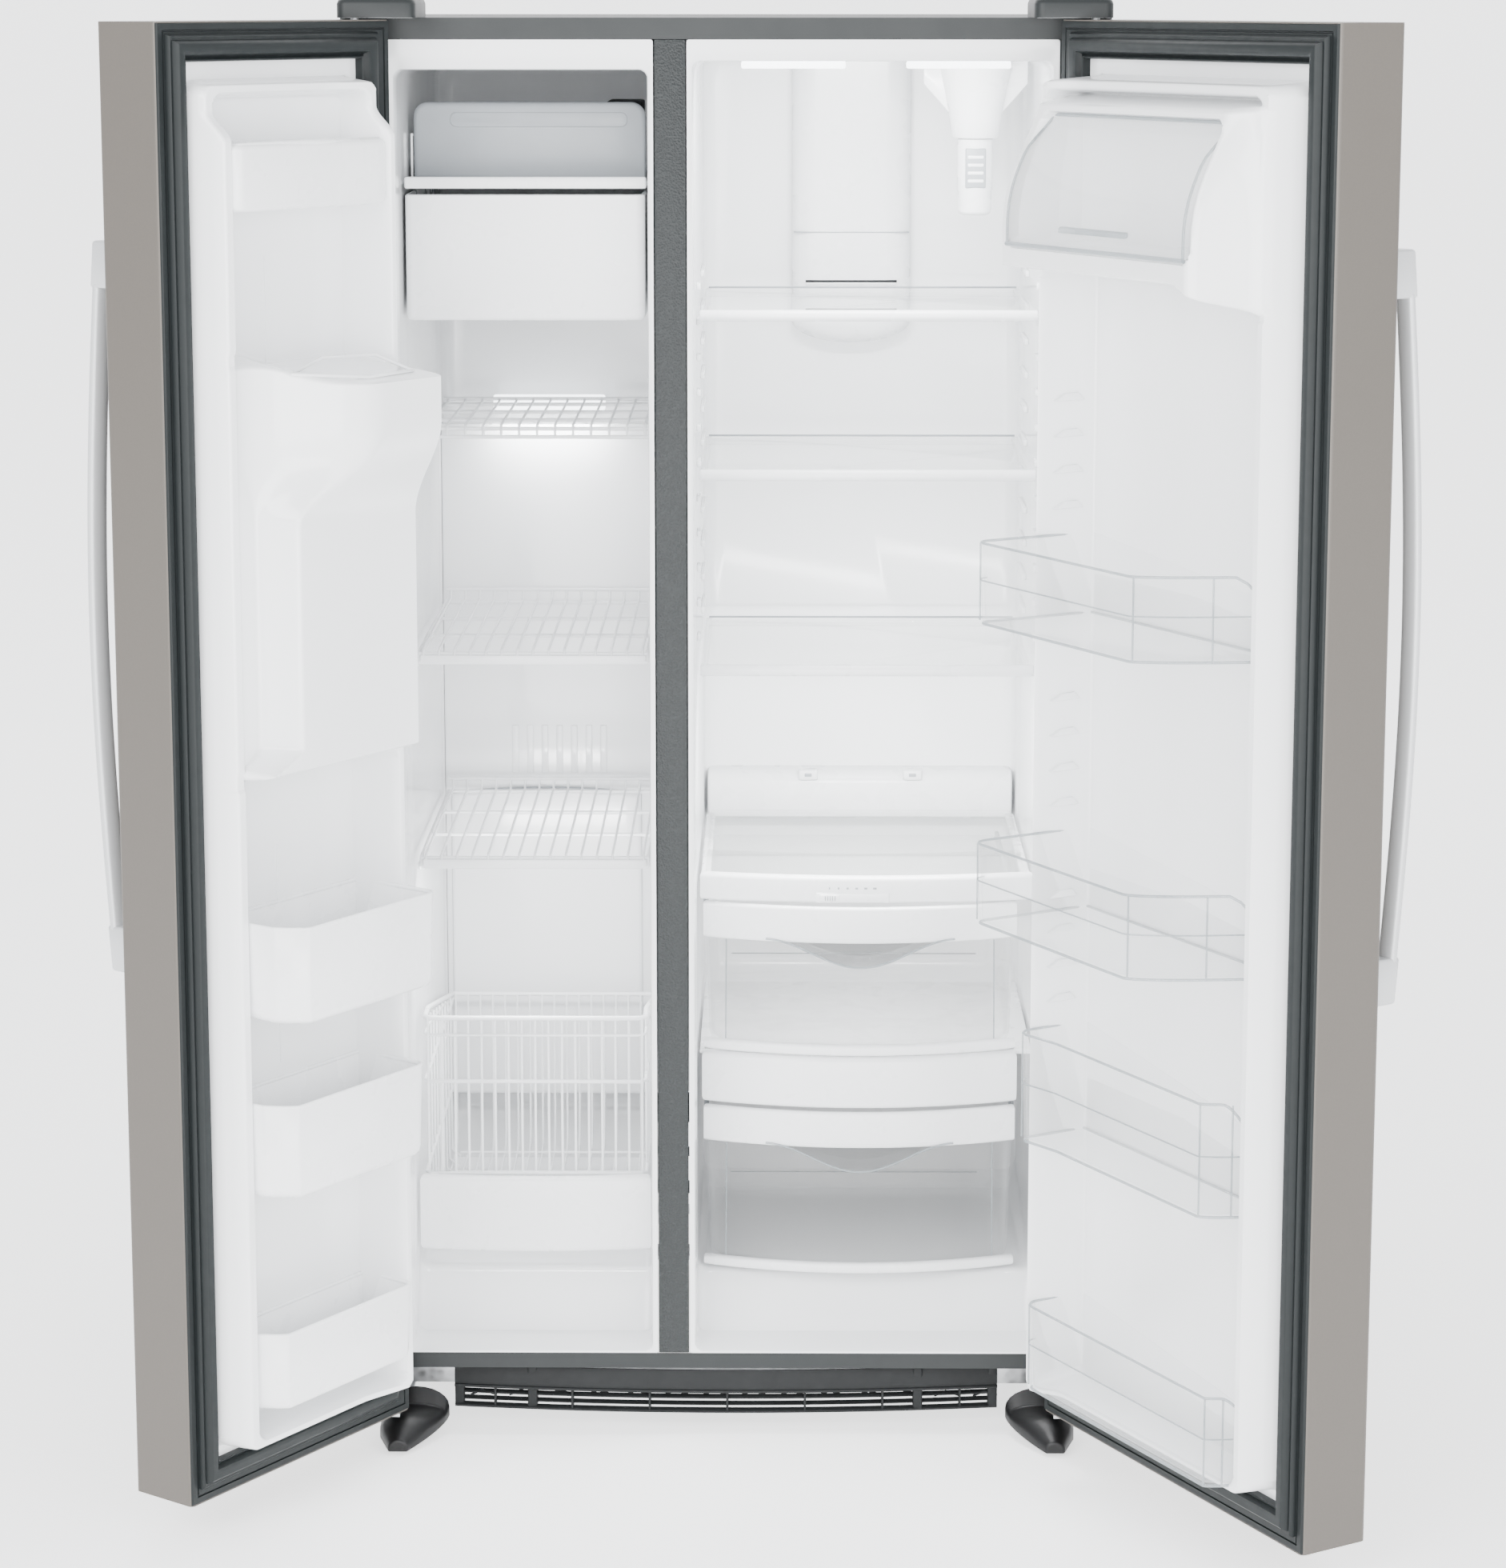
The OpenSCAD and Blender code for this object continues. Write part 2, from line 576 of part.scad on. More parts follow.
module freezer_door_skin() color(slate) on_freezer_door() difference() {
  door_skin(freezer_door, -1);
  span([recess[0], door_front - 1, recess[2]], [recess[1], door_front + 5, recess[3]]);
}

module freezer_door_liner() color(white) on_freezer_door() difference() {
  union() {
    door_liner(freezer_door, [[-388, -372, 52], [-124, -106, 40]], 93, 1690);
    along_x(-371, -150) polygon([[door_back - 1, 1190], [face + 88, 1190], [face + 129, 1240],
      [face + 129, 1318], [face + 75, 1372], [door_back - 1, 1372]]);
    along_x(-371, -129) polygon([[door_back - 1, 900], [face + 80, 912], [face + 88, 930],
      [face + 88, 1190.1], [face + 60, 1225], [door_back - 1, 1225]]);
    span([-372.1, door_back - 1, 1534], [-123.9, face + 50, 1546]);
    span([-372.1, face + 44, 1534], [-123.9, face + 50, 1610]);
  }
  span([-361, door_back - 20, 915], [-140, face + 78, 1180]);
  span([-262, door_back - 20, 1190], [-210, face + 90, 1380]);
}

module freezer_gasket() color(dark) on_freezer_door() door_gasket(freezer_door, [26, 12], [34, 25]);

module freezer_handle() color(metal) on_freezer_door() door_handle(freezer_door[1] - 40);

module freezer_bins() color(white) on_freezer_door() for (i = [0:2]) freezer_bin(i);

// The dispenser's niche in the outer face of the freezer door, with ears for the paddle's pin and
// bores for the flap's pin.
module dispenser_housing() color(black) on_freezer_door() difference() {
  union() {
    difference() {
      union() {
        span([recess[0] - 14, door_front - 3, recess[2] - 14],
          [recess[1] + 14, door_front - 0.2, recess[3] + 120]);
        span([recess[0] + 1, door_front - 0.3, recess[2] + 1],
          [recess[1] - 1, door_front + 75, recess[3] - 1]);
      }
      span([recess[0] + 5, door_front - 4, recess[2] + 5],
        [recess[1] - 5, door_front + 70, recess[3] - 60]);
      span([-258, door_front + 10, recess[3] - 61], [-214, door_front + 44, recess[3] + 2]);
    }
    for (x = [-270, -205.7]) span([x, door_front + 42, 1222], [x + 3.7, door_front + 54, recess[3] - 59.9]);
  }
  rod_x([-269.8, door_front + 48, 1232], paddle_r + fit, 67.6);
  rod_x([-260.5, door_front + 13.5, recess[3] - 54.5], flap_r + fit, 49);
}

module dispenser_paddle() color(grey) on_freezer_door() {
  span([-262, door_front + 46, 1130], [-210, door_front + 50, 1236]);
  rod_x([-269.6, door_front + 48, 1232], paddle_r, 67.2);
}

module drip_tray() color(grey) on_freezer_door() difference() {
  span([recess[0] + 7, door_front - 6, recess[2] + 5.5], [recess[1] - 7, door_front + 62, recess[2] + 17]);
  for (i = [0:11]) span([recess[0] + 14 + i * 11, door_front, recess[2] + 8],
    [recess[0] + 20 + i * 11, door_front + 56, recess[2] + 20]);
}

// The sprung flap at the foot of the ice chute.
module ice_chute_flap() color(dark) on_freezer_door() {
  span([-257, door_front + 12, recess[3] - 56], [-215, door_front + 42, recess[3] - 53]);
  rod_x([-260.3, door_front + 13.5, recess[3] - 54.5], flap_r, 48.6);
}

module fridge_door_skin() color(slate) on_fridge_door() door_skin(fridge_door, 1);

// The fresh food door's liner, with the moulded block that holds the dairy shelf.
module fridge_door_liner() color(white) on_fridge_door() {
  door_liner(fridge_door, [[-24, -8, 42], [374, 380, 62]], 93, 1694);
  difference() {
    span([-7, door_back - 1, 1476], [374.5, face + 120, 1656]);
    span([14, face + 6, 1486], [360, face + 125, 1640]);
    rod_x([11.8, face + 121, 1635], cover_r + fit, 350.4);
  }
}

module fridge_gasket() color(dark) on_fridge_door() door_gasket(fridge_door, [12, 26], [26.5, 34]);

module fridge_handle() color(metal) on_fridge_door() door_handle(fridge_door[0] + 40);

// The deep bins curve away more at their ends, so that they clear the compartment's wall.
module fridge_bin(i) door_bin(373.5, -7.5, fridge_bin_z[i], fridge_bin_d[i], [150, 150, 84, 70][i],
  [74, 74, 31, 17][i], [120, 120, 50, 29][i]);
module fridge_bins() color(clear) on_fridge_door() for (i = [0:3]) fridge_bin(i);

// The clear cover that lifts over the dairy shelf.
module dairy_cover() color(clear) on_fridge_door() {
  difference() {
    span([16, face + 100, 1488], [358, face + 124, 1638]);
    span([19, face + 95, 1485], [355, face + 121, 1635]);
  }
  for (x = [12, 357.8]) rod_x([x, face + 121, 1635], cover_r, 4.2);
}

case_shell();
back_panel();
mullion_cover();
freezer_liner();
fridge_liner();
base_frame();
base_grille();
leg_covers();
levelling_legs();
rear_rollers();
top_hinges();
hinge_covers();
bottom_hinges();
compressor();
condenser_coil();
fan_motors();
condenser_fan();
evaporator();
evaporator_fan();
drain_pan();
control_box();
water_valve();
compressor_cover();
cord_gland();
freezer_back_cover();
lamp_covers();
air_tower();
filter_head();
filter_cartridge();
icemaker();
icemaker_arm();
freezer_top_shelf();
ice_bucket();
ice_auger();
wire_shelves();
freezer_basket();
basket_front();
shelf_frames();
shelf_panes();
crisper_cover();
humidity_slider();
crisper_drawer();
drawer_cover();
lower_drawer();
rear_cover();
freezer_door_skin();
freezer_door_liner();
freezer_gasket();
freezer_handle();
freezer_bins();
dispenser_housing();
dispenser_paddle();
drip_tray();
ice_chute_flap();
fridge_door_skin();
fridge_door_liner();
fridge_gasket();
fridge_handle();
fridge_bins();
dairy_cover();
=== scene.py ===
"""Side by side refrigerator, doors open: detailed pieces and materials around the CAD frame.

Metres throughout. X runs to the right, -Y is the front and +Z is up. A door's pieces are drawn
with the door shut and then turned about its hinge by the angle at which it stands open.
"""
import json
from math import cos, pi, radians, sin

import bmesh
import bpy
from mathutils import Matrix, Vector


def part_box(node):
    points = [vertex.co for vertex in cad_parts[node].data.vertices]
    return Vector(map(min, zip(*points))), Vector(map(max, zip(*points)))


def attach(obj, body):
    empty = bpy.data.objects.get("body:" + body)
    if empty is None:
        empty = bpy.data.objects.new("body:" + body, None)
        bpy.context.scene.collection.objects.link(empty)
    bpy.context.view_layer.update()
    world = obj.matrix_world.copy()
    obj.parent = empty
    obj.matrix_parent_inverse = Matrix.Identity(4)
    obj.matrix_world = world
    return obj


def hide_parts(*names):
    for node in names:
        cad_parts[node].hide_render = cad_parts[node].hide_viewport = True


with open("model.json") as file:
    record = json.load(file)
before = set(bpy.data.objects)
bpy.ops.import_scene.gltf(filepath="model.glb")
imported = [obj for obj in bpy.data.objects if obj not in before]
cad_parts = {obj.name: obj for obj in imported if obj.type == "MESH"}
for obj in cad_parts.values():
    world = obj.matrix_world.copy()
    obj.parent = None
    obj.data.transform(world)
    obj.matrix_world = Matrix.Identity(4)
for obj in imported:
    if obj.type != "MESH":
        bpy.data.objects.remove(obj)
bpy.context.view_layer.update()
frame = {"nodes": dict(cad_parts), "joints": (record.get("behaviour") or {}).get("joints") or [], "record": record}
JOINTS = {j["name"]: j for j in frame["joints"]}
SLOTS = {s["node"]: s["material_slot"] for s in frame["record"]["subparts"]}
MM = 0.001


# ---- doors and boxes -----------------------------------------------------------------------

def open_turn(joint):
    """The turn from a door shut to the door as it stands at rest."""
    j = JOINTS[joint]
    angle = -radians(j["range_deg"][0])
    pin = Vector(j["pos_m"])
    turn = Matrix.Rotation(angle, 4, Vector(j["axis"]))
    return Matrix.Translation(pin) @ turn @ Matrix.Translation(-pin)


TURNS = {"freezer_door": open_turn("freezer_door_hinge"), "fridge_door": open_turn("fridge_door_hinge")}


def shut_box(node, door):
    """A door node's lowest and highest corners with its door shut."""
    back = TURNS[door].inverted()
    points = [back @ v.co for v in frame["nodes"][node].data.vertices]
    low = Vector([min(p[i] for p in points) for i in range(3)])
    high = Vector([max(p[i] for p in points) for i in range(3)])
    return low, high


# ---- outlines ------------------------------------------------------------------------------

def arc(cx, cy, r, a0, a1, n=6):
    """Points round a circle from angle a0 to a1, in degrees."""
    steps = [radians(a0 + (a1 - a0) * i / n) for i in range(n + 1)]
    return [(cx + r * cos(a), cy + r * sin(a)) for a in steps]


def round_rect(x0, y0, x1, y1, r, n=6):
    """A rectangle with rounded corners, anticlockwise from the right end of its top."""
    return (arc(x1 - r, y1 - r, r, 0, 90, n) + arc(x0 + r, y1 - r, r, 90, 180, n)
            + arc(x0 + r, y0 + r, r, 180, 270, n) + arc(x1 - r, y0 + r, r, 270, 360, n))


def bowed_rect(x0, x1, y_back, y_front, r, bow, n=16):
    """A rounded rectangle whose front edge bulges by bow. The front is at y_front."""
    side = 1 if y_front > y_back else -1
    points = round_rect(x0, min(y_back, y_front), x1, max(y_back, y_front), r, 6)
    middle, reach = (x0 + x1) / 2, (x1 - x0) / 2
    depth = abs(y_front - y_back)
    along = [(x0 + r + (x1 - x0 - 2 * r) * i / n) for i in range(1, n)]
    if side > 0:
        points = points[:7] + [(x, y_front) for x in reversed(along)] + points[7:]
    else:
        points = points[:21] + [(x, y_front) for x in along] + points[21:]
    out = []
    for x, y in points:
        share = max(0.0, abs(y - y_back) / depth - 0.5) * 2
        out.append((x, y + side * bow * share * (1 - ((x - middle) / reach) ** 2)))
    return out


# ---- a mesh under construction -------------------------------------------------------------

class Shape:
    """Collects solids in one mesh; each solid may have its own material."""

    def __init__(self):
        self.bm = bmesh.new()
        self.mats = []

    def _index(self, mat):
        if mat not in self.mats:
            self.mats.append(mat)
        return self.mats.index(mat)

    def _face(self, verts, index):
        try:
            f = self.bm.faces.new(verts)
        except ValueError:
            return
        f.material_index = index
        f.smooth = True

    def loops(self, rings, mat, cap_first=True, cap_last=True, closed=False):
        """Skins a row of rings that all have the same number of points."""
        index = self._index(mat)
        made = [[self.bm.verts.new(p) for p in ring] for ring in rings]
        pairs = list(zip(made, made[1:]))
        if closed:
            pairs.append((made[-1], made[0]))
        for a, b in pairs:
            for i in range(len(a)):
                k = (i + 1) % len(a)
                self._face((a[i], a[k], b[k], b[i]), index)
        if cap_first and not closed:
            self._face(list(reversed(made[0])), index)
        if cap_last and not closed:
            self._face(made[-1], index)
        return self

    def prism(self, outline, axis, a, b, mat, edge=0.0):
        """An outline run from a to b along an axis, with its end edges rounded by edge."""
        def at(point, h):
            u, v = point
            return {"x": (h, u, v), "y": (u, h, v), "z": (u, v, h)}[axis]
        cu = sum(p[0] for p in outline) / len(outline)
        cv = sum(p[1] for p in outline) / len(outline)
        ru = max(abs(p[0] - cu) for p in outline)
        rv = max(abs(p[1] - cv) for p in outline)

        def inset(d):
            su, sv = 1 - d / max(ru, 1e-6), 1 - d / max(rv, 1e-6)
            return [(cu + (p[0] - cu) * su, cv + (p[1] - cv) * sv) for p in outline]
        rings = [[at(p, a) for p in outline], [at(p, b) for p in outline]]
        if edge:
            rings = []
            for h, d in ((a, edge), (a + 0.3 * edge, 0.3 * edge), (a + edge, 0)):
                rings.append([at(p, h) for p in inset(d)])
            for h, d in ((b - edge, 0), (b - 0.3 * edge, 0.3 * edge), (b, edge)):
                rings.append([at(p, h) for p in inset(d)])
        return self.loops(rings, mat)

    def block(self, low, high, mat, r=0.002):
        """A box whose vertical edges are rounded by r and whose ends are eased."""
        (x0, y0, z0), (x1, y1, z1) = low, high
        r = min(r, (x1 - x0) / 2.2, (y1 - y0) / 2.2, (z1 - z0) / 2.2)
        return self.prism(round_rect(x0, y0, x1, y1, r, 3), "z", z0, z1, mat, r * 0.7)

    def tube(self, path, r, mat, sides=10, closed=False, flat=1.0):
        """A round tube along a path of points."""
        points = [Vector(p) for p in path]
        count = len(points)
        rings = []
        normal = None
        for i, p in enumerate(points):
            before = points[i - 1] if i or closed else p
            after = points[(i + 1) % count] if i < count - 1 or closed else p
            way = (after - before).normalized()
            if normal is None:
                normal = way.orthogonal().normalized()
            normal = (normal - way * normal.dot(way)).normalized()
            other = way.cross(normal)
            turns = [2 * pi * k / sides for k in range(sides)]
            rings.append([p + normal * r * cos(t) + other * r * flat * sin(t) for t in turns])
        return self.loops(rings, mat, closed=closed)

    def lathe(self, profile, centre, axis, mat, sides=40):
        """Turns a profile of (radius, height) about an axis through centre."""
        rings = []
        for r, h in profile:
            ring = []
            for k in range(sides):
                t = 2 * pi * k / sides
                u, v = r * cos(t), r * sin(t)
                offset = {"x": (h, u, v), "y": (v, h, u), "z": (u, v, h)}[axis]
                ring.append(Vector(centre) + Vector(offset))
            rings.append(ring)
        return self.loops(rings, mat)

    def done(self, name, body, slot, *nodes, door=None, sharp=45, bevel=0.0):
        """Makes the object, puts it on its body and hides the CAD nodes that it stands for."""
        bmesh.ops.recalc_face_normals(self.bm, faces=self.bm.faces)
        mesh = bpy.data.meshes.new(name)
        self.bm.to_mesh(mesh)
        self.bm.free()
        if door:
            mesh.transform(TURNS[door])
        for mat in self.mats:
            mesh.materials.append(mat)
        obj = bpy.data.objects.new(name, mesh)
        bpy.context.scene.collection.objects.link(obj)
        if bevel:
            mod = obj.modifiers.new("edge", "BEVEL")
            mod.width = bevel
            mod.segments = 3
            mod.limit_method = "ANGLE"
            mod.angle_limit = radians(sharp)
        mesh.set_sharp_from_angle(angle=radians(sharp))
        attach(obj, body)
        if nodes:
            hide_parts(*nodes)
        return obj


# ---- materials -----------------------------------------------------------------------------

class Material:
    """A Principled material with procedural detail added in layers."""

    def __init__(self, name, colour, rough, metal=0.0, **sockets):
        self.mat = bpy.data.materials.new(name)
        self.mat.use_nodes = True
        self.nodes = self.mat.node_tree.nodes
        self.links = self.mat.node_tree.links
        self.bsdf = self.nodes["Principled BSDF"]
        self.colour = colour
        self.set("Base Color", (*colour, 1))
        self.set("Roughness", rough)
        self.set("Metallic", metal)
        for key, value in sockets.items():
            self.set(key.replace("_", " "), value)
        self.rough = rough
        self.normal = None
        coords = self.nodes.new("ShaderNodeTexCoord")
        self.coords = coords.outputs["Object"]

    def set(self, socket, value):
        self.bsdf.inputs[socket].default_value = value

    def stretched(self, x, y, z):
        """Object coordinates scaled along each axis."""
        mapping = self.nodes.new("ShaderNodeMapping")
        mapping.inputs["Scale"].default_value = (x, y, z)
        self.links.new(self.coords, mapping.inputs["Vector"])
        return mapping.outputs["Vector"]

    def noise(self, scale, detail=3.0, vector=None):
        node = self.nodes.new("ShaderNodeTexNoise")
        node.inputs["Scale"].default_value = scale
        node.inputs["Detail"].default_value = detail
        self.links.new(vector or self.coords, node.inputs["Vector"])
        return node.outputs["Fac"]

    def cells(self, scale, feature="F1", vector=None):
        node = self.nodes.new("ShaderNodeTexVoronoi")
        node.feature = feature
        node.inputs["Scale"].default_value = scale
        self.links.new(vector or self.coords, node.inputs["Vector"])
        return node.outputs["Distance"]

    def waves(self, scale, direction="X", distortion=0.0):
        node = self.nodes.new("ShaderNodeTexWave")
        node.bands_direction = direction
        node.inputs["Scale"].default_value = scale
        node.inputs["Distortion"].default_value = distortion
        self.links.new(self.coords, node.inputs["Vector"])
        return node.outputs["Fac"]

    def ranged(self, value, low, high):
        """A 0 to 1 value mapped onto low to high."""
        node = self.nodes.new("ShaderNodeMapRange")
        node.inputs["To Min"].default_value = low
        node.inputs["To Max"].default_value = high
        self.links.new(value, node.inputs["Value"])
        return node.outputs["Result"]

    def bump(self, height, strength, distance):
        node = self.nodes.new("ShaderNodeBump")
        node.inputs["Strength"].default_value = strength
        node.inputs["Distance"].default_value = distance
        self.links.new(height, node.inputs["Height"])
        if self.normal:
            self.links.new(self.normal, node.inputs["Normal"])
        self.normal = node.outputs["Normal"]
        self.links.new(self.normal, self.bsdf.inputs["Normal"])
        return self

    def uneven_gloss(self, value, spread):
        """Varies the roughness by spread each way."""
        low, high = max(0.02, self.rough - spread), self.rough + spread
        self.links.new(self.ranged(value, low, high), self.bsdf.inputs["Roughness"])
        return self

    def uneven_colour(self, value, darker, lighter):
        """Mixes the colour between a darker and a lighter form of itself."""
        mix = self.nodes.new("ShaderNodeMix")
        mix.data_type = "RGBA"
        mix.inputs["A"].default_value = (*[c * darker for c in self.colour], 1)
        mix.inputs["B"].default_value = (*[min(1, c * lighter) for c in self.colour], 1)
        self.links.new(value, mix.inputs["Factor"])
        self.links.new(mix.outputs["Result"], self.bsdf.inputs["Base Color"])
        return self

    def see_through(self, face_on, edge_on, blend=0.35):
        """Clear when seen face on and denser towards its edges."""
        weight = self.nodes.new("ShaderNodeLayerWeight")
        weight.inputs["Blend"].default_value = blend
        self.links.new(self.ranged(weight.outputs["Facing"], face_on, edge_on), self.bsdf.inputs["Alpha"])
        return self


def slate_paint():
    m = Material("slate_paint", (0.098, 0.087, 0.075), 0.42, 0.25, Coat_Weight=0.12, Coat_Roughness=0.35)
    grain = m.noise(900, 2, m.stretched(1, 1, 0.05))
    m.uneven_gloss(m.noise(14, 4), 0.05)
    m.uneven_colour(m.noise(420, 2), 0.94, 1.06)
    return m.bump(grain, 0.06, 0.0004).mat


def case_paint():
    m = Material("case_paint", (0.012, 0.0145, 0.015), 0.45, 0.0, Specular_IOR_Level=0.35)
    m.uneven_gloss(m.noise(30), 0.06)
    m.uneven_colour(m.noise(600, 2), 0.9, 1.1)
    return m.bump(m.noise(1400, 2), 0.15, 0.0003).mat


def leather_vinyl():
    m = Material("leather_vinyl", (0.012, 0.0145, 0.015), 0.5, Specular_IOR_Level=0.4)
    m.uneven_colour(m.cells(420), 0.75, 1.35)
    m.bump(m.cells(420), 0.9, 0.0007)
    return m.bump(m.noise(160, 4), 0.35, 0.0008).mat


def liner_white():
    m = Material("liner_white", (0.88, 0.89, 0.9), 0.22, Coat_Weight=0.5, Coat_Roughness=0.08)
    m.uneven_gloss(m.noise(9, 3), 0.05)
    m.uneven_colour(m.noise(3, 2), 0.985, 1.01)
    m.bump(m.noise(28, 2), 0.04, 0.002)
    return m.bump(m.noise(700, 2), 0.03, 0.0003).mat


def plastic_white():
    m = Material("plastic_white", (0.9, 0.91, 0.92), 0.28, Coat_Weight=0.25, Coat_Roughness=0.15)
    m.uneven_gloss(m.noise(22, 3), 0.06)
    m.uneven_colour(m.noise(6, 3), 0.985, 1.01)
    return m.bump(m.noise(900, 2), 0.06, 0.0002).mat


def wire_white():
    m = Material("wire_white", (0.86, 0.87, 0.88), 0.3, Coat_Weight=0.4, Coat_Roughness=0.12)
    m.uneven_gloss(m.noise(80, 2), 0.06)
    return m.bump(m.noise(350, 3), 0.15, 0.0004).mat


def clear_plastic():
    m = Material("clear_plastic", (0.93, 0.95, 0.96), 0.06, IOR=1.45, Coat_Weight=0.5, Coat_Roughness=0.04)
    m.see_through(0.03, 0.4, 0.3)
    m.uneven_gloss(m.noise(40, 2), 0.03)
    return m.bump(m.noise(18, 2), 0.04, 0.002).mat


def clear_edge():
    m = Material("clear_edge", (0.34, 0.38, 0.4), 0.12, IOR=1.45, Coat_Weight=0.4, Coat_Roughness=0.05)
    m.see_through(0.45, 0.85, 0.4)
    m.uneven_gloss(m.noise(60, 2), 0.04)
    return m.bump(m.noise(30, 2), 0.05, 0.001).mat


def shelf_glass():
    m = Material("shelf_glass", (0.88, 0.92, 0.91), 0.04, IOR=1.5, Coat_Weight=0.4, Coat_Roughness=0.02)
    m.see_through(0.05, 0.3, 0.25)
    m.uneven_gloss(m.noise(15, 2), 0.015)
    return m.bump(m.noise(5, 2), 0.02, 0.001).mat


def frosted():
    m = Material("frosted", (0.88, 0.9, 0.91), 0.45, IOR=1.45)
    m.see_through(0.5, 0.9, 0.4)
    m.uneven_gloss(m.noise(50, 3), 0.08)
    return m.bump(m.waves(60, "Y"), 0.35, 0.001).mat


def gasket_vinyl():
    m = Material("gasket_vinyl", (0.006, 0.0085, 0.009), 0.5, Specular_IOR_Level=0.3)
    m.uneven_colour(m.noise(25, 4), 0.9, 1.12)
    m.uneven_gloss(m.noise(60, 3), 0.08)
    return m.bump(m.noise(800, 3), 0.12, 0.0003).mat


def brushed_silver():
    m = Material("brushed_silver", (0.56, 0.57, 0.58), 0.36, 0.35)
    grain = m.noise(260, 2)
    m.uneven_gloss(grain, 0.03)
    m.uneven_colour(grain, 0.98, 1.02)
    return m.bump(grain, 0.03, 0.0002).mat


def zinc():
    m = Material("zinc", (0.52, 0.53, 0.54), 0.38, 1.0)
    m.uneven_colour(m.cells(90), 0.8, 1.15)
    m.uneven_gloss(m.cells(90), 0.1)
    return m.bump(m.noise(300, 3), 0.08, 0.0003).mat


def dark_plastic():
    m = Material("dark_plastic", (0.008, 0.009, 0.0095), 0.6, Specular_IOR_Level=0.25)
    m.uneven_colour(m.noise(40, 3), 0.8, 1.3)
    m.uneven_gloss(m.noise(90, 3), 0.07)
    return m.bump(m.cells(1300), 0.25, 0.0002).mat


def gloss_black():
    m = Material("gloss_black", (0.004, 0.004, 0.0045), 0.38, Specular_IOR_Level=0.3)
    m.uneven_gloss(m.noise(35, 3), 0.05)
    return m.bump(m.noise(60, 3), 0.04, 0.0006).mat


def grey_plastic():
    m = Material("grey_plastic", (0.33, 0.35, 0.37), 0.36)
    m.uneven_colour(m.noise(30, 3), 0.94, 1.06)
    m.uneven_gloss(m.noise(70, 3), 0.06)
    return m.bump(m.noise(1000, 2), 0.12, 0.0002).mat


def lamp_opal():
    m = Material("lamp_opal", (0.95, 0.97, 1.0), 0.3)
    m.set("Emission Color", (0.93, 0.97, 1.0, 1))
    m.set("Emission Strength", 5.0)
    m.uneven_gloss(m.noise(50, 2), 0.08)
    return m.bump(m.waves(120, "X"), 0.2, 0.0006).mat


SLATE = slate_paint()
PAINT = case_paint()
LEATHER = leather_vinyl()
LINER = liner_white()
WHITE = plastic_white()
WIRE = wire_white()
CLEAR = clear_plastic()
EDGE = clear_edge()
GLASS = shelf_glass()
FROST = frosted()
GASKET = gasket_vinyl()
SILVER = brushed_silver()
ZINC = zinc()
DARK = dark_plastic()
BLACK = gloss_black()
GREY = grey_plastic()
LAMP = lamp_opal()

SLOT_LOOKS = {"case_steel": PAINT, "galvanised": ZINC, "mullion_vinyl": LEATHER, "white_liner": LINER,
              "white_plastic": WHITE, "coated_wire": WIRE, "dark_plastic": DARK, "gloss_black": BLACK,
              "grey_plastic": GREY, "lamp_diffuser": LAMP, "frosted_clear": FROST, "clear_plastic": CLEAR,
              "glass": GLASS, "slate_steel": SLATE, "gasket_rubber": GASKET, "handle_metal": SILVER,}


def dress_frame():
    """Gives every CAD node the material of its slot and eased edges."""
    for name, obj in frame["nodes"].items():
        mesh = obj.data
        mesh.materials.clear()
        mesh.materials.append(SLOT_LOOKS[SLOTS[name]])
        mod = obj.modifiers.new("edge", "BEVEL")
        mod.width = 0.0008
        mod.segments = 2
        mod.limit_method = "ANGLE"
        mod.angle_limit = radians(40)
        mesh.set_sharp_from_angle(angle=radians(35))


# ---- rings: the building block of every moulded piece --------------------------------------

def ring_z(outline, z):
    return [(x, y, z) for x, y in outline]


def ring_y(outline, y):
    return [(x, y, z) for x, z in outline]


def frame_ring(x0, z0, x1, z1, y):
    return [(x0, y, z0), (x1, y, z0), (x1, y, z1), (x0, y, z1)]


def lerp(a, b, t):
    return a + (b - a) * t


def spread(a, b, count):
    """Evenly spaced values, the first at a and the last at b."""
    return [lerp(a, b, i / (count - 1)) for i in range(count)]


def arched(u):
    """A bow's share of its full depth: 1 in the middle, where u is 0, and none at -1 and 1."""
    return 1 - u * u


def moulded_tray(shape, mat, plan, z0, z1, wall, foot=0.012, draft=0.0, rim=None):
    """An open-topped tray with a rounded foot and a rounded rim.

    plan(inset) is its outline, and rim(x, y) gives how far the rim drops below z1 at a point.
    """
    drop = rim or (lambda x, y: 0.0)
    turns = [radians(30 * k) for k in range(4)]
    rings = []
    for t in turns:
        rings.append(ring_z(plan(draft + foot * (1 - sin(t))), z0 + foot * (1 - cos(t))))
    for inset, below in ((0, 0.0015), (wall * 0.35, 0), (wall * 0.75, 0), (wall, 0.0015)):
        rings.append([(x, y, z1 - below - drop(x, y)) for x, y in plan(inset)])
    for t in reversed(turns):
        inset = wall + draft + foot * (1 - sin(t))
        rings.append(ring_z(plan(inset), z0 + wall + foot * (1 - cos(t))))
    return shape.loops(rings, mat)


def bowed_plan(x0, x1, y_back, y_front, r, bow):
    """A tray's outline at any inset: a rounded rectangle with a bowed front."""
    side = 1 if y_front > y_back else -1

    def plan(inset):
        return bowed_rect(x0 + inset, x1 - inset, y_back + side * inset, y_front - side * inset,
                          max(r - inset * 0.5, 0.002), bow)
    return plan


def pad_of(shape, mat, outline_at, levels, axis="z"):
    """A solid through levels of (height, inset), with outline_at(inset) as its plan."""
    make = {"z": ring_z, "y": ring_y}[axis]
    return shape.loops([make(outline_at(inset), h) for h, inset in levels], mat)


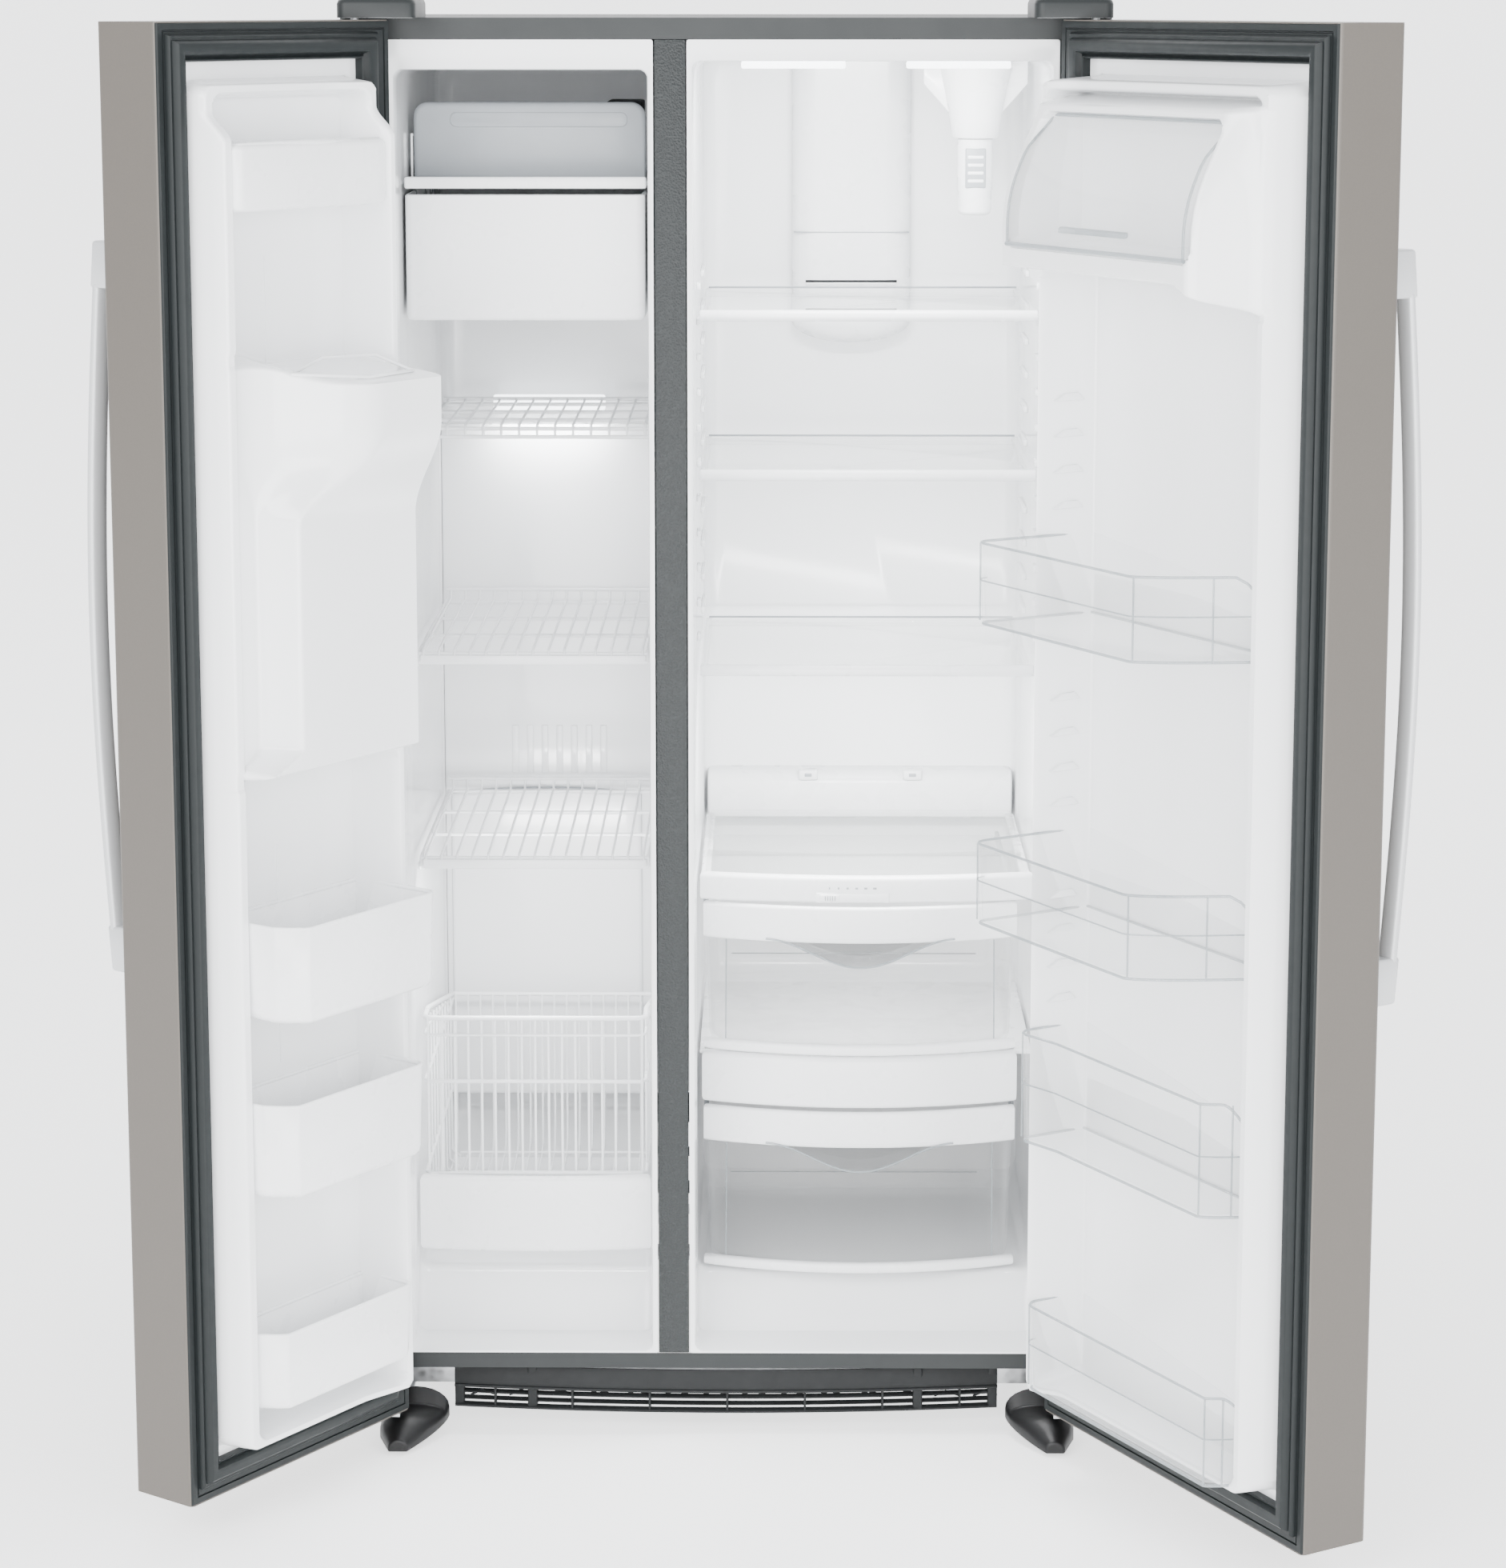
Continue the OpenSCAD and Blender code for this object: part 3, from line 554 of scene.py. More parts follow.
def eased(a, b, r):
    """Levels of (height, inset) from a to b with both ends rounded by r."""
    turns = [radians(t) for t in (0, 30, 60, 90)]
    start = [(a + r * (1 - cos(t)), r * (1 - sin(t))) for t in turns]
    if b < a:
        start = [(a - r * (1 - cos(t)), r * (1 - sin(t))) for t in turns]
        return start + [(b + r * (1 - cos(t)), r * (1 - sin(t))) for t in reversed(turns)]
    return start + [(b - r * (1 - cos(t)), r * (1 - sin(t))) for t in reversed(turns)]


# ---- case: liners, posts and covers --------------------------------------------------------

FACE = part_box("case_shell")[0].y
RAIL_BOW = 0.024
ROOM = {"freezer": (-0.392, -0.093, 1.682), "fridge": (-0.039, 0.386, 1.692)}
FLOOR_Z, LIP_Z, BAND_Z = 0.17, 0.101, 1.718


def make_room(name, node, step_y, step_z, lips):
    """The liner of a compartment: front lips, a rounded mouth, and walls with rounded corners."""
    x0, x1, top = ROOM[name]
    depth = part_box(node)[1].y - 0.0025
    shape = Shape()

    def opening(y, low, grow, r):
        return ring_y(round_rect(x0 - grow, low - grow, x1 + grow, top + grow, r, 6), y)
    left, right = lips
    outer = round_rect(x0 - left, LIP_Z - 0.0015, x1 + right, BAND_Z - 0.0005, 0.003, 6)
    rings = [ring_y(outer, FACE + 0.003), ring_y(outer, FACE)]
    rings.append(opening(FACE, LIP_Z + 0.003, 0.0035, 0.012))
    rings.append(opening(FACE + 0.0012, LIP_Z + 0.002, 0.001, 0.01))
    rings.append(opening(FACE + 0.005, LIP_Z + 0.001, 0, 0.01))
    for y, low in ((0.04, 0.1013), (0.074, 0.102), (0.085, 0.118), (0.1, 0.145), (0.112, 0.165),
                   (0.122, FLOOR_Z)):
        rings.append(opening(FACE + y, low, 0, 0.014))
    rings.append(opening(FACE + step_y - 0.02, FLOOR_Z, 0, 0.02))
    rings.append(opening(FACE + step_y, FLOOR_Z + 0.02, 0, 0.02))
    rings.append(opening(FACE + step_y + 0.004, step_z, 0, 0.02))
    rings.append(opening(depth - 0.018, step_z + 0.035, 0, 0.02))
    for k in (1, 2, 3):
        t = radians(30 * k)
        shrink = 0.018 * (1 - cos(t))
        rings.append(ring_y(round_rect(x0 + shrink, step_z + 0.036 + shrink, x1 - shrink, top - shrink, 0.02,
                                       6), depth - 0.018 * (1 - sin(t))))
    shape.loops(rings, LINER, cap_first=False)
    return shape


def ladder(shape, x, side, z0, z1, count, y, mat):
    """Shelf support notches up a wall: at each height a short ledge and a longer one further back."""
    for i in range(count):
        z = lerp(z0, z1, i / (count - 1))
        for start, length in ((y, 0.03), (y + 0.22, 0.11)):
            low = (min(x, x + side * 0.005), start, z)
            high = (max(x, x + side * 0.005), start + length, z + 0.008)
            shape.block(low, high, mat, 0.0015)


def make_freezer_room():
    shape = make_room("freezer", "freezer_liner", 0.52, 0.19, (0.007, 0.007))
    x0, x1, _ = ROOM["freezer"]
    for z in (0.69, 0.95, 1.218):
        for side, x in ((1, x0), (-1, x1)):
            low, high = sorted((x, x + side * 0.004))
            shape.block((low, FACE + 0.16, z - 0.012), (high, FACE + 0.54, z - 0.004), LINER, 0.002)
    shape.done("freezer_room", "cabinet", "white_liner", "freezer_liner", sharp=40)


def make_fridge_room():
    shape = make_room("fridge", "fridge_liner", 0.47, 0.4, (0.007, 0.0075))
    x0, x1, _ = ROOM["fridge"]
    ladder(shape, x0, 1, 0.97, 1.41, 11, FACE + 0.17, LINER)
    ladder(shape, x1, -1, 0.97, 1.41, 11, FACE + 0.17, LINER)
    shape.done("fridge_room", "cabinet", "white_liner", "fridge_liner", sharp=40)


def make_mullion():
    low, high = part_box("mullion_cover")
    shape = Shape()
    shape.block(low, high, LEATHER, 0.0012)
    shape.done("mullion_skin", "cabinet", "mullion_vinyl", "mullion_cover", sharp=35)


# ---- fresh food compartment ----------------------------------------------------------------

def make_air_tower():
    (x0, y0, z0), (x1, y1, z1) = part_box("air_tower")
    shape = Shape()
    half, drop = (x1 - x0) / 2, 0.03
    middle = (x0 + x1) / 2

    def face_plan(inset):
        turns = [radians(180 + 9 * i) for i in range(21)]
        foot = [(middle + (half - inset) * cos(t), z0 + drop + (drop - inset * 0.8) * sin(t)) for t in turns]
        return foot + [(x1 - inset, z1), (x0 + inset, z1)]
    levels = [(y1, 0.0), (y0 + 0.022, 0.0), (y0 + 0.012, 0.003), (y0 + 0.005, 0.01), (y0 + 0.001, 0.022),
              (y0, 0.034)]
    pad_of(shape, WHITE, face_plan, levels, "y")
    seam = z0 + 0.148
    shape.block((x0 + 0.002, y0 - 0.0006, seam), (x1 - 0.002, y0 + 0.02, seam + 0.0015), GREY, 0.0005)
    # Two air slots: each is a dark strip laid on the face as painted shade for the slot's opening, with a white
    # lip below it.
    for z in (1.352, 1.39):
        shape.block((x0 + 0.018, y0 - 0.0006, z), (x1 - 0.018, y0 + 0.004, z + 0.0032), DARK, 0.0012)
        shape.block((x0 + 0.018, y0 - 0.0022, z - 0.0035), (x1 - 0.018, y0 + 0.004, z), WHITE, 0.0015)
    shape.done("air_tower_cover", "cabinet", "white_plastic", "air_tower", sharp=50)


def make_filter():
    low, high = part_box("filter_head")
    cx, cy = (low.x + high.x) / 2, (low.y + high.y) / 2
    r = (high.x - low.x) / 2
    shape = Shape()
    profile = [(0.0247, low.z), (0.028, low.z - 0.0005), (0.0305, low.z + 0.002), (0.034, low.z + 0.03),
               (0.04, low.z + 0.062), (r - 0.001, low.z + 0.085), (r, high.z), (0.01, high.z)]
    shape.lathe([(p, h - low.z) for p, h in profile], (cx, cy, low.z), "z", WHITE)
    for side in (-1, 1):
        shape.prism([(cx + side * 0.03, high.z - 0.07), (cx + side * 0.066, high.z - 0.03),
                     (cx + side * 0.066, high.z), (cx + side * 0.03, high.z)][::side], "y", cy - 0.004,
                    cy + 0.004, WHITE, 0.001)
    shape.done("filter_housing", "cabinet", "white_plastic", "filter_head", sharp=50)
    low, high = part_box("filter_cartridge")
    shape = Shape()
    r = 0.0225
    length = high.z - low.z
    profile = [(0.004, 0), (r - 0.008, 0.0), (r - 0.003, 0.002), (r - 0.001, 0.006), (r - 0.001, 0.03),
               (r, 0.032), (r, length - 0.032), (r - 0.004, length - 0.03), (0.004, length - 0.03)]
    shape.lathe(profile, (cx, cy, low.z), "z", WHITE)
    shape.block((cx - 0.013, cy - r - 0.0006, low.z + 0.035), (cx + 0.013, cy - 0.01, low.z + 0.085), GREY,
                0.002)
    for i in range(4):
        shape.block((cx - 0.01, cy - r - 0.0014, low.z + 0.042 + i * 0.01),
                    (cx + 0.01, cy - 0.012, low.z + 0.046 + i * 0.01), WHITE, 0.001)
    shape.done("filter_bottle", "water_filter", "white_plastic", "filter_cartridge", sharp=50)


def make_shelves():
    """Three glass shelves with clear sides and a white front nose, and the crisper's bowed glass."""
    (x0, y0, _), (x1, y1, _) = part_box("shelf_frames")
    frames, panes = Shape(), Shape()
    heights = sorted({round(v.co.z, 4) for v in frame["nodes"]["shelf_frames"].data.vertices})
    bottoms = [z for z in heights if any(abs(z + 0.014 - h) < 2e-4 for h in heights)]
    for z in bottoms:
        for x in (x0, x1 - 0.008):
            frames.block((x, y0 + 0.016, z), (x + 0.008, y1, z + 0.0115), CLEAR, 0.002)
        nose = [(y0, z + 0.003), (y0 + 0.003, z), (y0 + 0.019, z + 0.001), (y0 + 0.019, z + 0.012),
                (y0 + 0.006, z + 0.014), (y0 + 0.001, z + 0.011)]
        frames.prism(nose, "x", x0, x1, WHITE, 0.002)
        frames.block((x0, y1 - 0.008, z + 0.001), (x1, y1, z + 0.012), CLEAR, 0.002)
        frames.block((x0 + 0.004, y1 - 0.0045, z + 0.012), (x1 - 0.004, y1 - 0.002, z + 0.0145), GREY,
                     0.0008)
        panes.block((x0 + 0.008, y0 + 0.012, z + 0.0068), (x1 - 0.008, y1 - 0.008, z + 0.0105), GLASS,
                    0.0015)
    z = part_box("shelf_panes")[0].z
    (x0, y0, _), (x1, y1, _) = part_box("crisper_cover")
    bowed_band(panes, GLASS, x0 + 0.006, x1 - 0.006, y0 + 0.2, y0 + 0.0385, RAIL_BOW, z, z + 0.004, 0.001)
    panes.block((x0 + 0.006, y0 + 0.1765, z), (x1 - 0.006, y1, z + 0.004), GLASS, 0.0015)
    frames.done("shelf_trims", "cabinet", "white_plastic", "shelf_frames", sharp=50)
    panes.done("shelf_glass_sheets", "cabinet", "glass", "shelf_panes", sharp=50)


def make_rear_cover():
    (x0, y0, z0), (x1, y1, z1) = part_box("rear_cover")
    shape = Shape()
    profile = [(y1, z0), (y0 + 0.012, z0), (y0 + 0.006, z0 + 0.004), (y0 + 0.004, z0 + 0.05),
               (y0 + 0.008, z0 + 0.06), (y0 + 0.018, z0 + 0.066), (y1, z0 + 0.067)]
    shape.prism(profile, "x", x0 + 0.003, x1 - 0.003, WHITE, 0.004)
    for x in (0.09, 0.232):
        shape.block((x, y0, z1 - 0.014), (x + 0.026, y0 + 0.02, z1), WHITE, 0.003)
        shape.block((x + 0.008, y0 - 0.0005, z1 - 0.009), (x + 0.018, y0 + 0.01, z1 - 0.004), GREY, 0.001)
    shape.done("rear_duct_cover", "cabinet", "white_plastic", "rear_cover")


def bowed_band(shape, mat, x0, x1, y_back, y_front, bow, z0, z1, edge=0.004):
    """A moulded front of even thickness that bows forward, with eased edges."""
    def plan(inset):
        arch = [(lerp(x0 + inset, x1 - inset, (1 + u) / 2), bow * arched(u)) for u in spread(-1, 1, 21)]
        return [(x, y_front + inset - b) for x, b in arch] + [(x, y_back - b) for x, b in reversed(arch)]
    pad_of(shape, mat, plan, eased(z0, z1, edge))


def make_crisper_top():
    """The bowed rail over the upper drawer, its side runners, and the humidity slot with its scale."""
    (x0, front, z0), (x1, y1, _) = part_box("crisper_cover")
    shape = Shape()
    ends = front + RAIL_BOW
    bowed_band(shape, WHITE, x0, x1, ends + 0.013, ends, RAIL_BOW, z0, z0 + 0.034, 0.005)
    for x in (x0, x1 - 0.012):
        shape.block((x, ends + 0.006, z0 + 0.012), (x + 0.012, y1, z0 + 0.0205), WHITE, 0.003)
    (x0, _, z0), (_, _, z1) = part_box("humidity_slider")
    shape.block((x0 - 0.004, front - 0.0005, z0 - 0.0015), (x0 + 0.088, front + 0.006, z1 + 0.0015), WHITE,
                0.002)
    for i in range(6):
        x = x0 + 0.012 + i * 0.011
        shape.block((x, front - 0.0004, z1 + 0.006), (x + 0.0015 + i * 0.0006, front + 0.004, z1 + 0.0085),
                    GREY, 0.0004)
    shape.done("crisper_top_rail", "cabinet", "white_plastic", "crisper_cover")


def make_humidity_knob():
    low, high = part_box("humidity_slider")
    shape = Shape()
    shape.block(low, high, WHITE, 0.0025)
    for i in range(5):
        x = low.x + 0.007 + i * 0.003
        shape.block((x, low.y - 0.0008, low.z + 0.002), (x + 0.0012, low.y + 0.002, high.z - 0.002), GREY,
                    0.0004)
    shape.done("humidity_knob", "humidity_slider", "grey_plastic", "humidity_slider")


def smile(x, reach, dip):
    """How far a scooped edge hangs down at x: a smooth dip that ends at reach."""
    u = min(1.0, abs(x) / reach)
    return dip * (cos(pi * u) + 1) / 2


def make_drawer(name, node):
    """A clear drawer: a white top band with a scooped clear lip, clear walls and a white foot."""
    (x0, y0, z0), (x1, y1, z1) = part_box(node)
    shape = Shape()
    bow, band = 0.036, 0.046
    front = y0 + bow
    plan = bowed_plan(x0 + 0.002, x1 - 0.002, y1, front + 0.003, 0.014, bow)
    moulded_tray(shape, CLEAR, plan, z0 + 0.003, z1 - 0.006, 0.003, foot=0.016, draft=0.005)
    for x in (x0, x1 - 0.006):
        shape.block((x, front + 0.02, z1 - 0.01), (x + 0.006, y1, z1), EDGE, 0.002)
    bowed_band(shape, WHITE, x0, x1, front + 0.008, front + 0.0005, bow, z1 - band, z1)
    bowed_band(shape, WHITE, x0, x1, front + 0.008, front, bow, z0, z0 + 0.013)
    middle, half = (x0 + x1) / 2, (x1 - x0) / 2
    reach = half * 0.6
    top = z1 - band + 0.004
    lip = []
    for u in spread(-reach, reach, 37):
        x, y = middle + u, front - bow * arched(u / half)
        hang = smile(u, reach, 0.034)
        lip.append([(x, y - 0.0005, top - hang), (x, y - 0.0005, top + 0.002), (x, y + 0.026, top + 0.002),
                    (x, y + 0.026, top - hang * 0.75)])
    shape.loops(lip, CLEAR)
    shape.tube([ring[0] for ring in lip], 0.0013, EDGE, 8)
    for x, lean in ((x0 + 0.028, 0.001), (x1 - 0.028, -0.001)):
        y = front + 0.001 - bow * arched((x - middle) / half)
        shape.tube([(x, y, z0 + 0.016), (x + lean, y, z1 - band)], 0.0008, EDGE, 6)
    shape.tube([(x0 + 0.03, y1 - 0.006, z0 + 0.02), (x1 - 0.03, y1 - 0.006, z0 + 0.02)], 0.0009, EDGE, 6)
    shape.done(name, node, "clear_plastic", node, sharp=50)


def make_drawer_cover():
    (x0, y0, z0), (x1, y1, z1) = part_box("drawer_cover")
    shape = Shape()
    bow = 0.034
    front = y0 + bow
    bowed_band(shape, WHITE, x0 + 0.003, x1 - 0.019, front + 0.012, front, bow, z0, z0 + 0.066, 0.007)
    bowed_band(shape, WHITE, x0, x1, y1, front + 0.01, 0.0, z1 - 0.006, z1, 0.002)
    bowed_band(shape, WHITE, x0 + 0.004, x1 - 0.02, front + 0.04, front + 0.008, bow, z1 - 0.006, z1, 0.002)
    shape.done("drawer_front_cover", "cabinet", "white_plastic", "drawer_cover")


# ---- freezer compartment -------------------------------------------------------------------

def make_icemaker():
    """The ice maker's shield: a panel with rounded top corners and a scooped recess."""
    (x0, y0, z0), (x1, y1, _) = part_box("icemaker")
    shape = Shape()
    top = 1.64

    def plan(inset):
        return ([(x0 + inset, z0 + inset), (x1 - inset, z0 + inset)]
                + arc(x1 - 0.018, top - 0.018, 0.018 - inset, 0, 90, 8)
                + arc(x0 + 0.018, top - 0.018, 0.018 - inset, 90, 180, 8))
    pad_of(shape, GREY, plan, [(y0 + 0.05, 0.006), (y0 + 0.008, 0.0), (y0 + 0.002, 0.002), (y0, 0.006)], "y")
    rim = round_rect(x0 + 0.045, top - 0.03, x1 - 0.022, top - 0.012, 0.008)
    shape.prism(rim, "y", y0 - 0.0012, y0 + 0.004, GREY, 0.001)
    for i in range(7):
        x = x0 + 0.03 + i * 0.036
        shape.block((x, y0 + 0.055, z0 + 0.01), (x + 0.004, y0 + 0.145, top - 0.03), WHITE, 0.001)
    shape.block((x0 + 0.01, y0 + 0.05, z0), (x1 - 0.01, y1, z0 + 0.04), GREY, 0.004)
    shape.block((x1 - 0.05, y0 + 0.05, z0 + 0.02), (x1 - 0.006, y1, top), DARK, 0.004)
    shape.done("icemaker_shield", "cabinet", "grey_plastic", "icemaker")


def make_top_shelf():
    (x0, y0, z0), (x1, y1, z1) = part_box("freezer_top_shelf")
    shape = Shape()
    shape.block((x0, y0 + 0.006, z0 + 0.002), (x1, y1, z0 + 0.005), FROST, 0.001)
    for x in spread(x0 + 0.008, x1 - 0.012, 22):
        shape.block((x, y0 + 0.006, z0 + 0.004), (x + 0.004, y1, z0 + 0.009), FROST, 0.001)
    shape.block((x0, y0, z0), (x1, y0 + 0.008, z1), WHITE, 0.003)
    shape.done("ribbed_top_shelf", "cabinet", "frosted_clear", "freezer_top_shelf")


def make_bucket():
    (x0, y0, z0), (x1, y1, z1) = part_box("ice_bucket")
    shape = Shape()
    plan = bowed_plan(x0, x1, y1, y0 + 0.001, 0.01, 0.0)
    moulded_tray(shape, WHITE, plan, z0, z1, 0.005, foot=0.006)
    shape.done("ice_bucket_shell", "ice_bucket", "white_plastic", "ice_bucket")


def make_auger():
    (x0, y0, z0), (x1, y1, z1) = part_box("ice_auger")
    cx, cz = (x0 + x1) / 2, (z0 + z1) / 2
    shape = Shape()
    shape.lathe([(0.0055, 0), (0.006, 0.002), (0.006, y1 - y0 - 0.002), (0.0055, y1 - y0)], (cx, y0, cz),
                "y", ZINC, 20)
    turns, steps = 5, 90
    path = []
    for i in range(steps + 1):
        t = 2 * pi * turns * i / steps
        path.append((cx + 0.018 * cos(t), lerp(y0 + 0.02, y1 - 0.08, i / steps), cz + 0.018 * sin(t)))
    shape.tube(path, 0.0035, ZINC, 8)
    for i in range(0, steps + 1, 9):
        shape.tube([(cx, path[i][1], cz), path[i]], 0.003, ZINC, 8)
    shape.done("ice_auger_helix", "ice_auger", "galvanised", "ice_auger", sharp=50)


def make_wire_shelves():
    """Round wires on cross wires, with a flat white front rail on the lower two."""
    (x0, _, _), (x1, y1, _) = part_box("wire_shelves")
    shape = Shape()
    x0, x1, y1 = x0 + 0.003, x1 - 0.003, y1 - 0.002
    thin, thick = 0.0016, 0.0024
    for z, y0, railed in ((1.226, FACE + 0.25, False), (0.958, FACE + 0.13, True),
                          (0.698, FACE + 0.13, True)):
        rise = 0.02 if railed else 0.01
        for x in spread(x0 + 0.006, x1 - 0.006, 15 if railed else 13):
            shape.tube([(x, y1, z + rise), (x, y1 - 0.006, z + 0.007), (x, y0 + 0.006, z + 0.007),
                        (x, y0 + 0.001, z + 0.004), (x, y0, z - 0.008)], thin, WIRE, 8)
        for y, dz in ((y0 + 0.004, 0.002), (lerp(y0, y1, 0.33), 0.003), (lerp(y0, y1, 0.66), 0.003),
                      (y1 - 0.004, 0.003), (y1, rise), (y0, -0.008)):
            shape.tube([(x0, y, z + dz), (x1, y, z + dz)], thick, WIRE, 10)
        if railed:
            shape.block((x0 + 0.002, y0 - 0.0022, z - 0.011), (x1 - 0.002, y0 + 0.003, z + 0.001), WIRE,
                        0.002)
        for x in (x0, x1):
            shape.tube([(x, y0, z - 0.008), (x, y0 + 0.004, z + 0.003), (x, y1, z + 0.003)], thick, WIRE, 10)
    shape.done("wire_shelf_set", "cabinet", "coated_wire", "wire_shelves", sharp=60)


def make_basket():
    """The pull-out basket: upright wires that curve under it, rails round it and a stepped rim."""
    low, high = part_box("freezer_basket")
    shape = Shape()
    x0, x1, y0, y1 = low.x + 0.003, high.x - 0.003, low.y + 0.003, high.y - 0.003
    z0, rim = low.z + 0.003, high.z - 0.003
    back_rim = 0.425
    rails = [(rim, 0.0032), (rim - 0.022, 0.0018), (0.42, 0.0024), (0.3, 0.0024)]
    for z, r in rails:
        z_back = z if z < 0.43 else back_rim
        shape.tube([(x0, y1, z_back), (x0, y0 + 0.05, z), (x0, y0 + 0.008, z), (x0 + 0.008, y0, z),
                    (x1 - 0.008, y0, z), (x1, y0 + 0.008, z), (x1, y0 + 0.05, z), (x1, y1, z_back)], r, WIRE,
                   10)
    for x in spread(x0 + 0.004, x1 - 0.004, 17):
        shape.tube([(x, y0 + 0.002, rim), (x, y0 + 0.002, z0 + 0.03), (x, y0 + 0.01, z0 + 0.008),
                    (x, y0 + 0.03, z0), (x, y1 - 0.03, z0), (x, y1 - 0.01, z0 + 0.008),
                    (x, y1 - 0.002, z0 + 0.03), (x, y1 - 0.002, back_rim)], 0.0016, WIRE, 8)
    for x in (x0, x1):
        for i in range(1, 10):
            y = lerp(y0, y1, i / 10)
            shape.tube([(x, y, lerp(rim, back_rim, i / 10)), (x, y, z0 + 0.01),
                        (x + (0.012 if x == x0 else -0.012), y, z0)], 0.0016, WIRE, 8)
    for y in spread(y0 + 0.03, y1 - 0.03, 5):
        shape.tube([(x0 + 0.01, y, z0 + 0.002), (x1 - 0.01, y, z0 + 0.002)], 0.0022, WIRE, 8)
    shape.tube([(x0, y1, back_rim), (x1, y1, back_rim)], 0.003, WIRE, 10)
    shape.done("wire_basket", "freezer_basket", "coated_wire", "freezer_basket", sharp=60)


def make_basket_front():
    (x0, y0, z0), (x1, y1, z1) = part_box("basket_front")
    shape = Shape()
    bowed_band(shape, WHITE, x0, x1, y1, y0 + 0.011, 0.01, z0, z1, 0.007)
    shape.done("basket_front_panel", "freezer_basket", "white_plastic", "basket_front")


def make_freezer_back():
    """The evaporator's cover: a panel with a raised lower pad, air slots and a grille."""
    (_, y0, z0), (_, y1, z1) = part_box("freezer_back_cover")
    shape = Shape()
    x_left, x_right, _ = ROOM["freezer"]
    shape.block((x_left + 0.0004, y1 - 0.004, z0), (x_right - 0.0004, y1, z1), LINER, 0.002)
    x0, x1, top = -0.384, -0.124, 0.7

    def crown(a, b, z):
        return [(lerp(a, b, (1 + u) / 2), z - 0.006 * u * u) for u in spread(-1, 1, 15)]

    def plan(inset):
        foot = [(x0 + inset, z0 + inset), (x1 - inset, z0 + inset)]
        return foot + crown(x1 - inset, x0 + inset, top - inset)
    pad_of(shape, LINER, plan, [(y1, 0.0), (y0 + 0.004, 0.0), (y0 + 0.001, 0.002), (y0, 0.006)], "y")
    seam = crown(x0 + 0.02, x1 - 0.02, top + 0.002)
    shape.tube([(x, y0 + 0.004, z) for x, z in seam], 0.0012, GREY, 8)
    for i in range(7):
        x = -0.3 + i * 0.02
        shape.block((x, y1 - 0.0058, 0.722), (x + 0.009, y1 - 0.003, 0.788), LINER, 0.002)
    shape.done("evaporator_cover", "cabinet", "white_plastic", "freezer_back_cover")


def make_lamps():
    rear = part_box("lamp_covers")[1].y
    shape = Shape()
    shape.block((-0.32, rear - 0.0118, 1.219), (-0.17, rear - 0.0002, 1.24), LAMP, 0.004)
    y0 = FACE + 0.024
    top = ROOM["fridge"][2]
    for x in (0.018, 0.214):
        shape.block((x, y0, top - 0.009), (x + 0.124, y0 + 0.02, top - 0.0003), LAMP, 0.003)
    shape.done("lamp_bars", "cabinet", "lamp_diffuser", "lamp_covers")


# ---- moulded sheets ------------------------------------------------------------------------

def smooth(a, b, t):
    """0 at a, 1 at b and an S curve between them."""
    u = max(0.0, min(1.0, (t - a) / (b - a)))
    return u * u * (3 - 2 * u)


def soft_max(a, b, k):
    return 0.5 * (a + b + ((a - b) ** 2 + k * k) ** 0.5)


def inside(x, z, x0, z0, x1, z1, r):
    """How far a point is inside a rounded rectangle; negative when outside."""
    qx = abs(x - (x0 + x1) / 2) - (x1 - x0) / 2 + r
    qz = abs(z - (z0 + z1) / 2) - (z1 - z0) / 2 + r
    return r - min(max(qx, qz), 0) - Vector((max(qx, 0), max(qz, 0))).length


def lines(low, high, step, dense):
    """Grid lines from low to high: step apart, and 2 mm apart within each dense stretch."""
    found = {low, high}
    count = int((high - low) / step)
    found.update(low + (high - low) * i / count for i in range(count))
    for a, b in dense:
        found.update(a + (b - a) * i / max(1, int((b - a) / 2)) for i in range(int((b - a) / 2) + 1))
    ordered = sorted(v for v in found if low <= v <= high)
    kept = ordered[:1]
    for v in ordered[1:]:
        if v - kept[-1] > 0.8:
            kept.append(v)
    return kept


def moulded_sheet(shape, mat, xs, zs, height, y_back, y0):
    """A closed solid with a flat back and a moulded face, heights in mm above y0."""
    bm = shape.bm
    index = shape._index(mat)
    front = [[bm.verts.new((x * MM, y0 + height(x, z) * MM, z * MM)) for x in xs] for z in zs]
    rear = [[bm.verts.new((x * MM, y_back, z * MM)) for x in xs] for z in zs]
    for i in range(len(zs) - 1):
        for k in range(len(xs) - 1):
            shape._face((front[i][k], front[i + 1][k], front[i + 1][k + 1], front[i][k + 1]), index)
            shape._face((rear[i][k], rear[i][k + 1], rear[i + 1][k + 1], rear[i + 1][k]), index)
    for grid_i in (0, len(zs) - 1):
        for k in range(len(xs) - 1):
            shape._face((front[grid_i][k], front[grid_i][k + 1], rear[grid_i][k + 1], rear[grid_i][k]),
                        index)
    for grid_k in (0, len(xs) - 1):
        for i in range(len(zs) - 1):
            shape._face((front[i][grid_k], front[i + 1][grid_k], rear[i + 1][grid_k], rear[i][grid_k]),
                        index)


# ---- doors: drawn shut, then turned ---------------------------------------------------------

DOOR_BACK = shut_box("fridge_gasket", "fridge_door")[0].y
PLATE = DOOR_BACK - 0.0002
IN = (FACE - PLATE) / MM


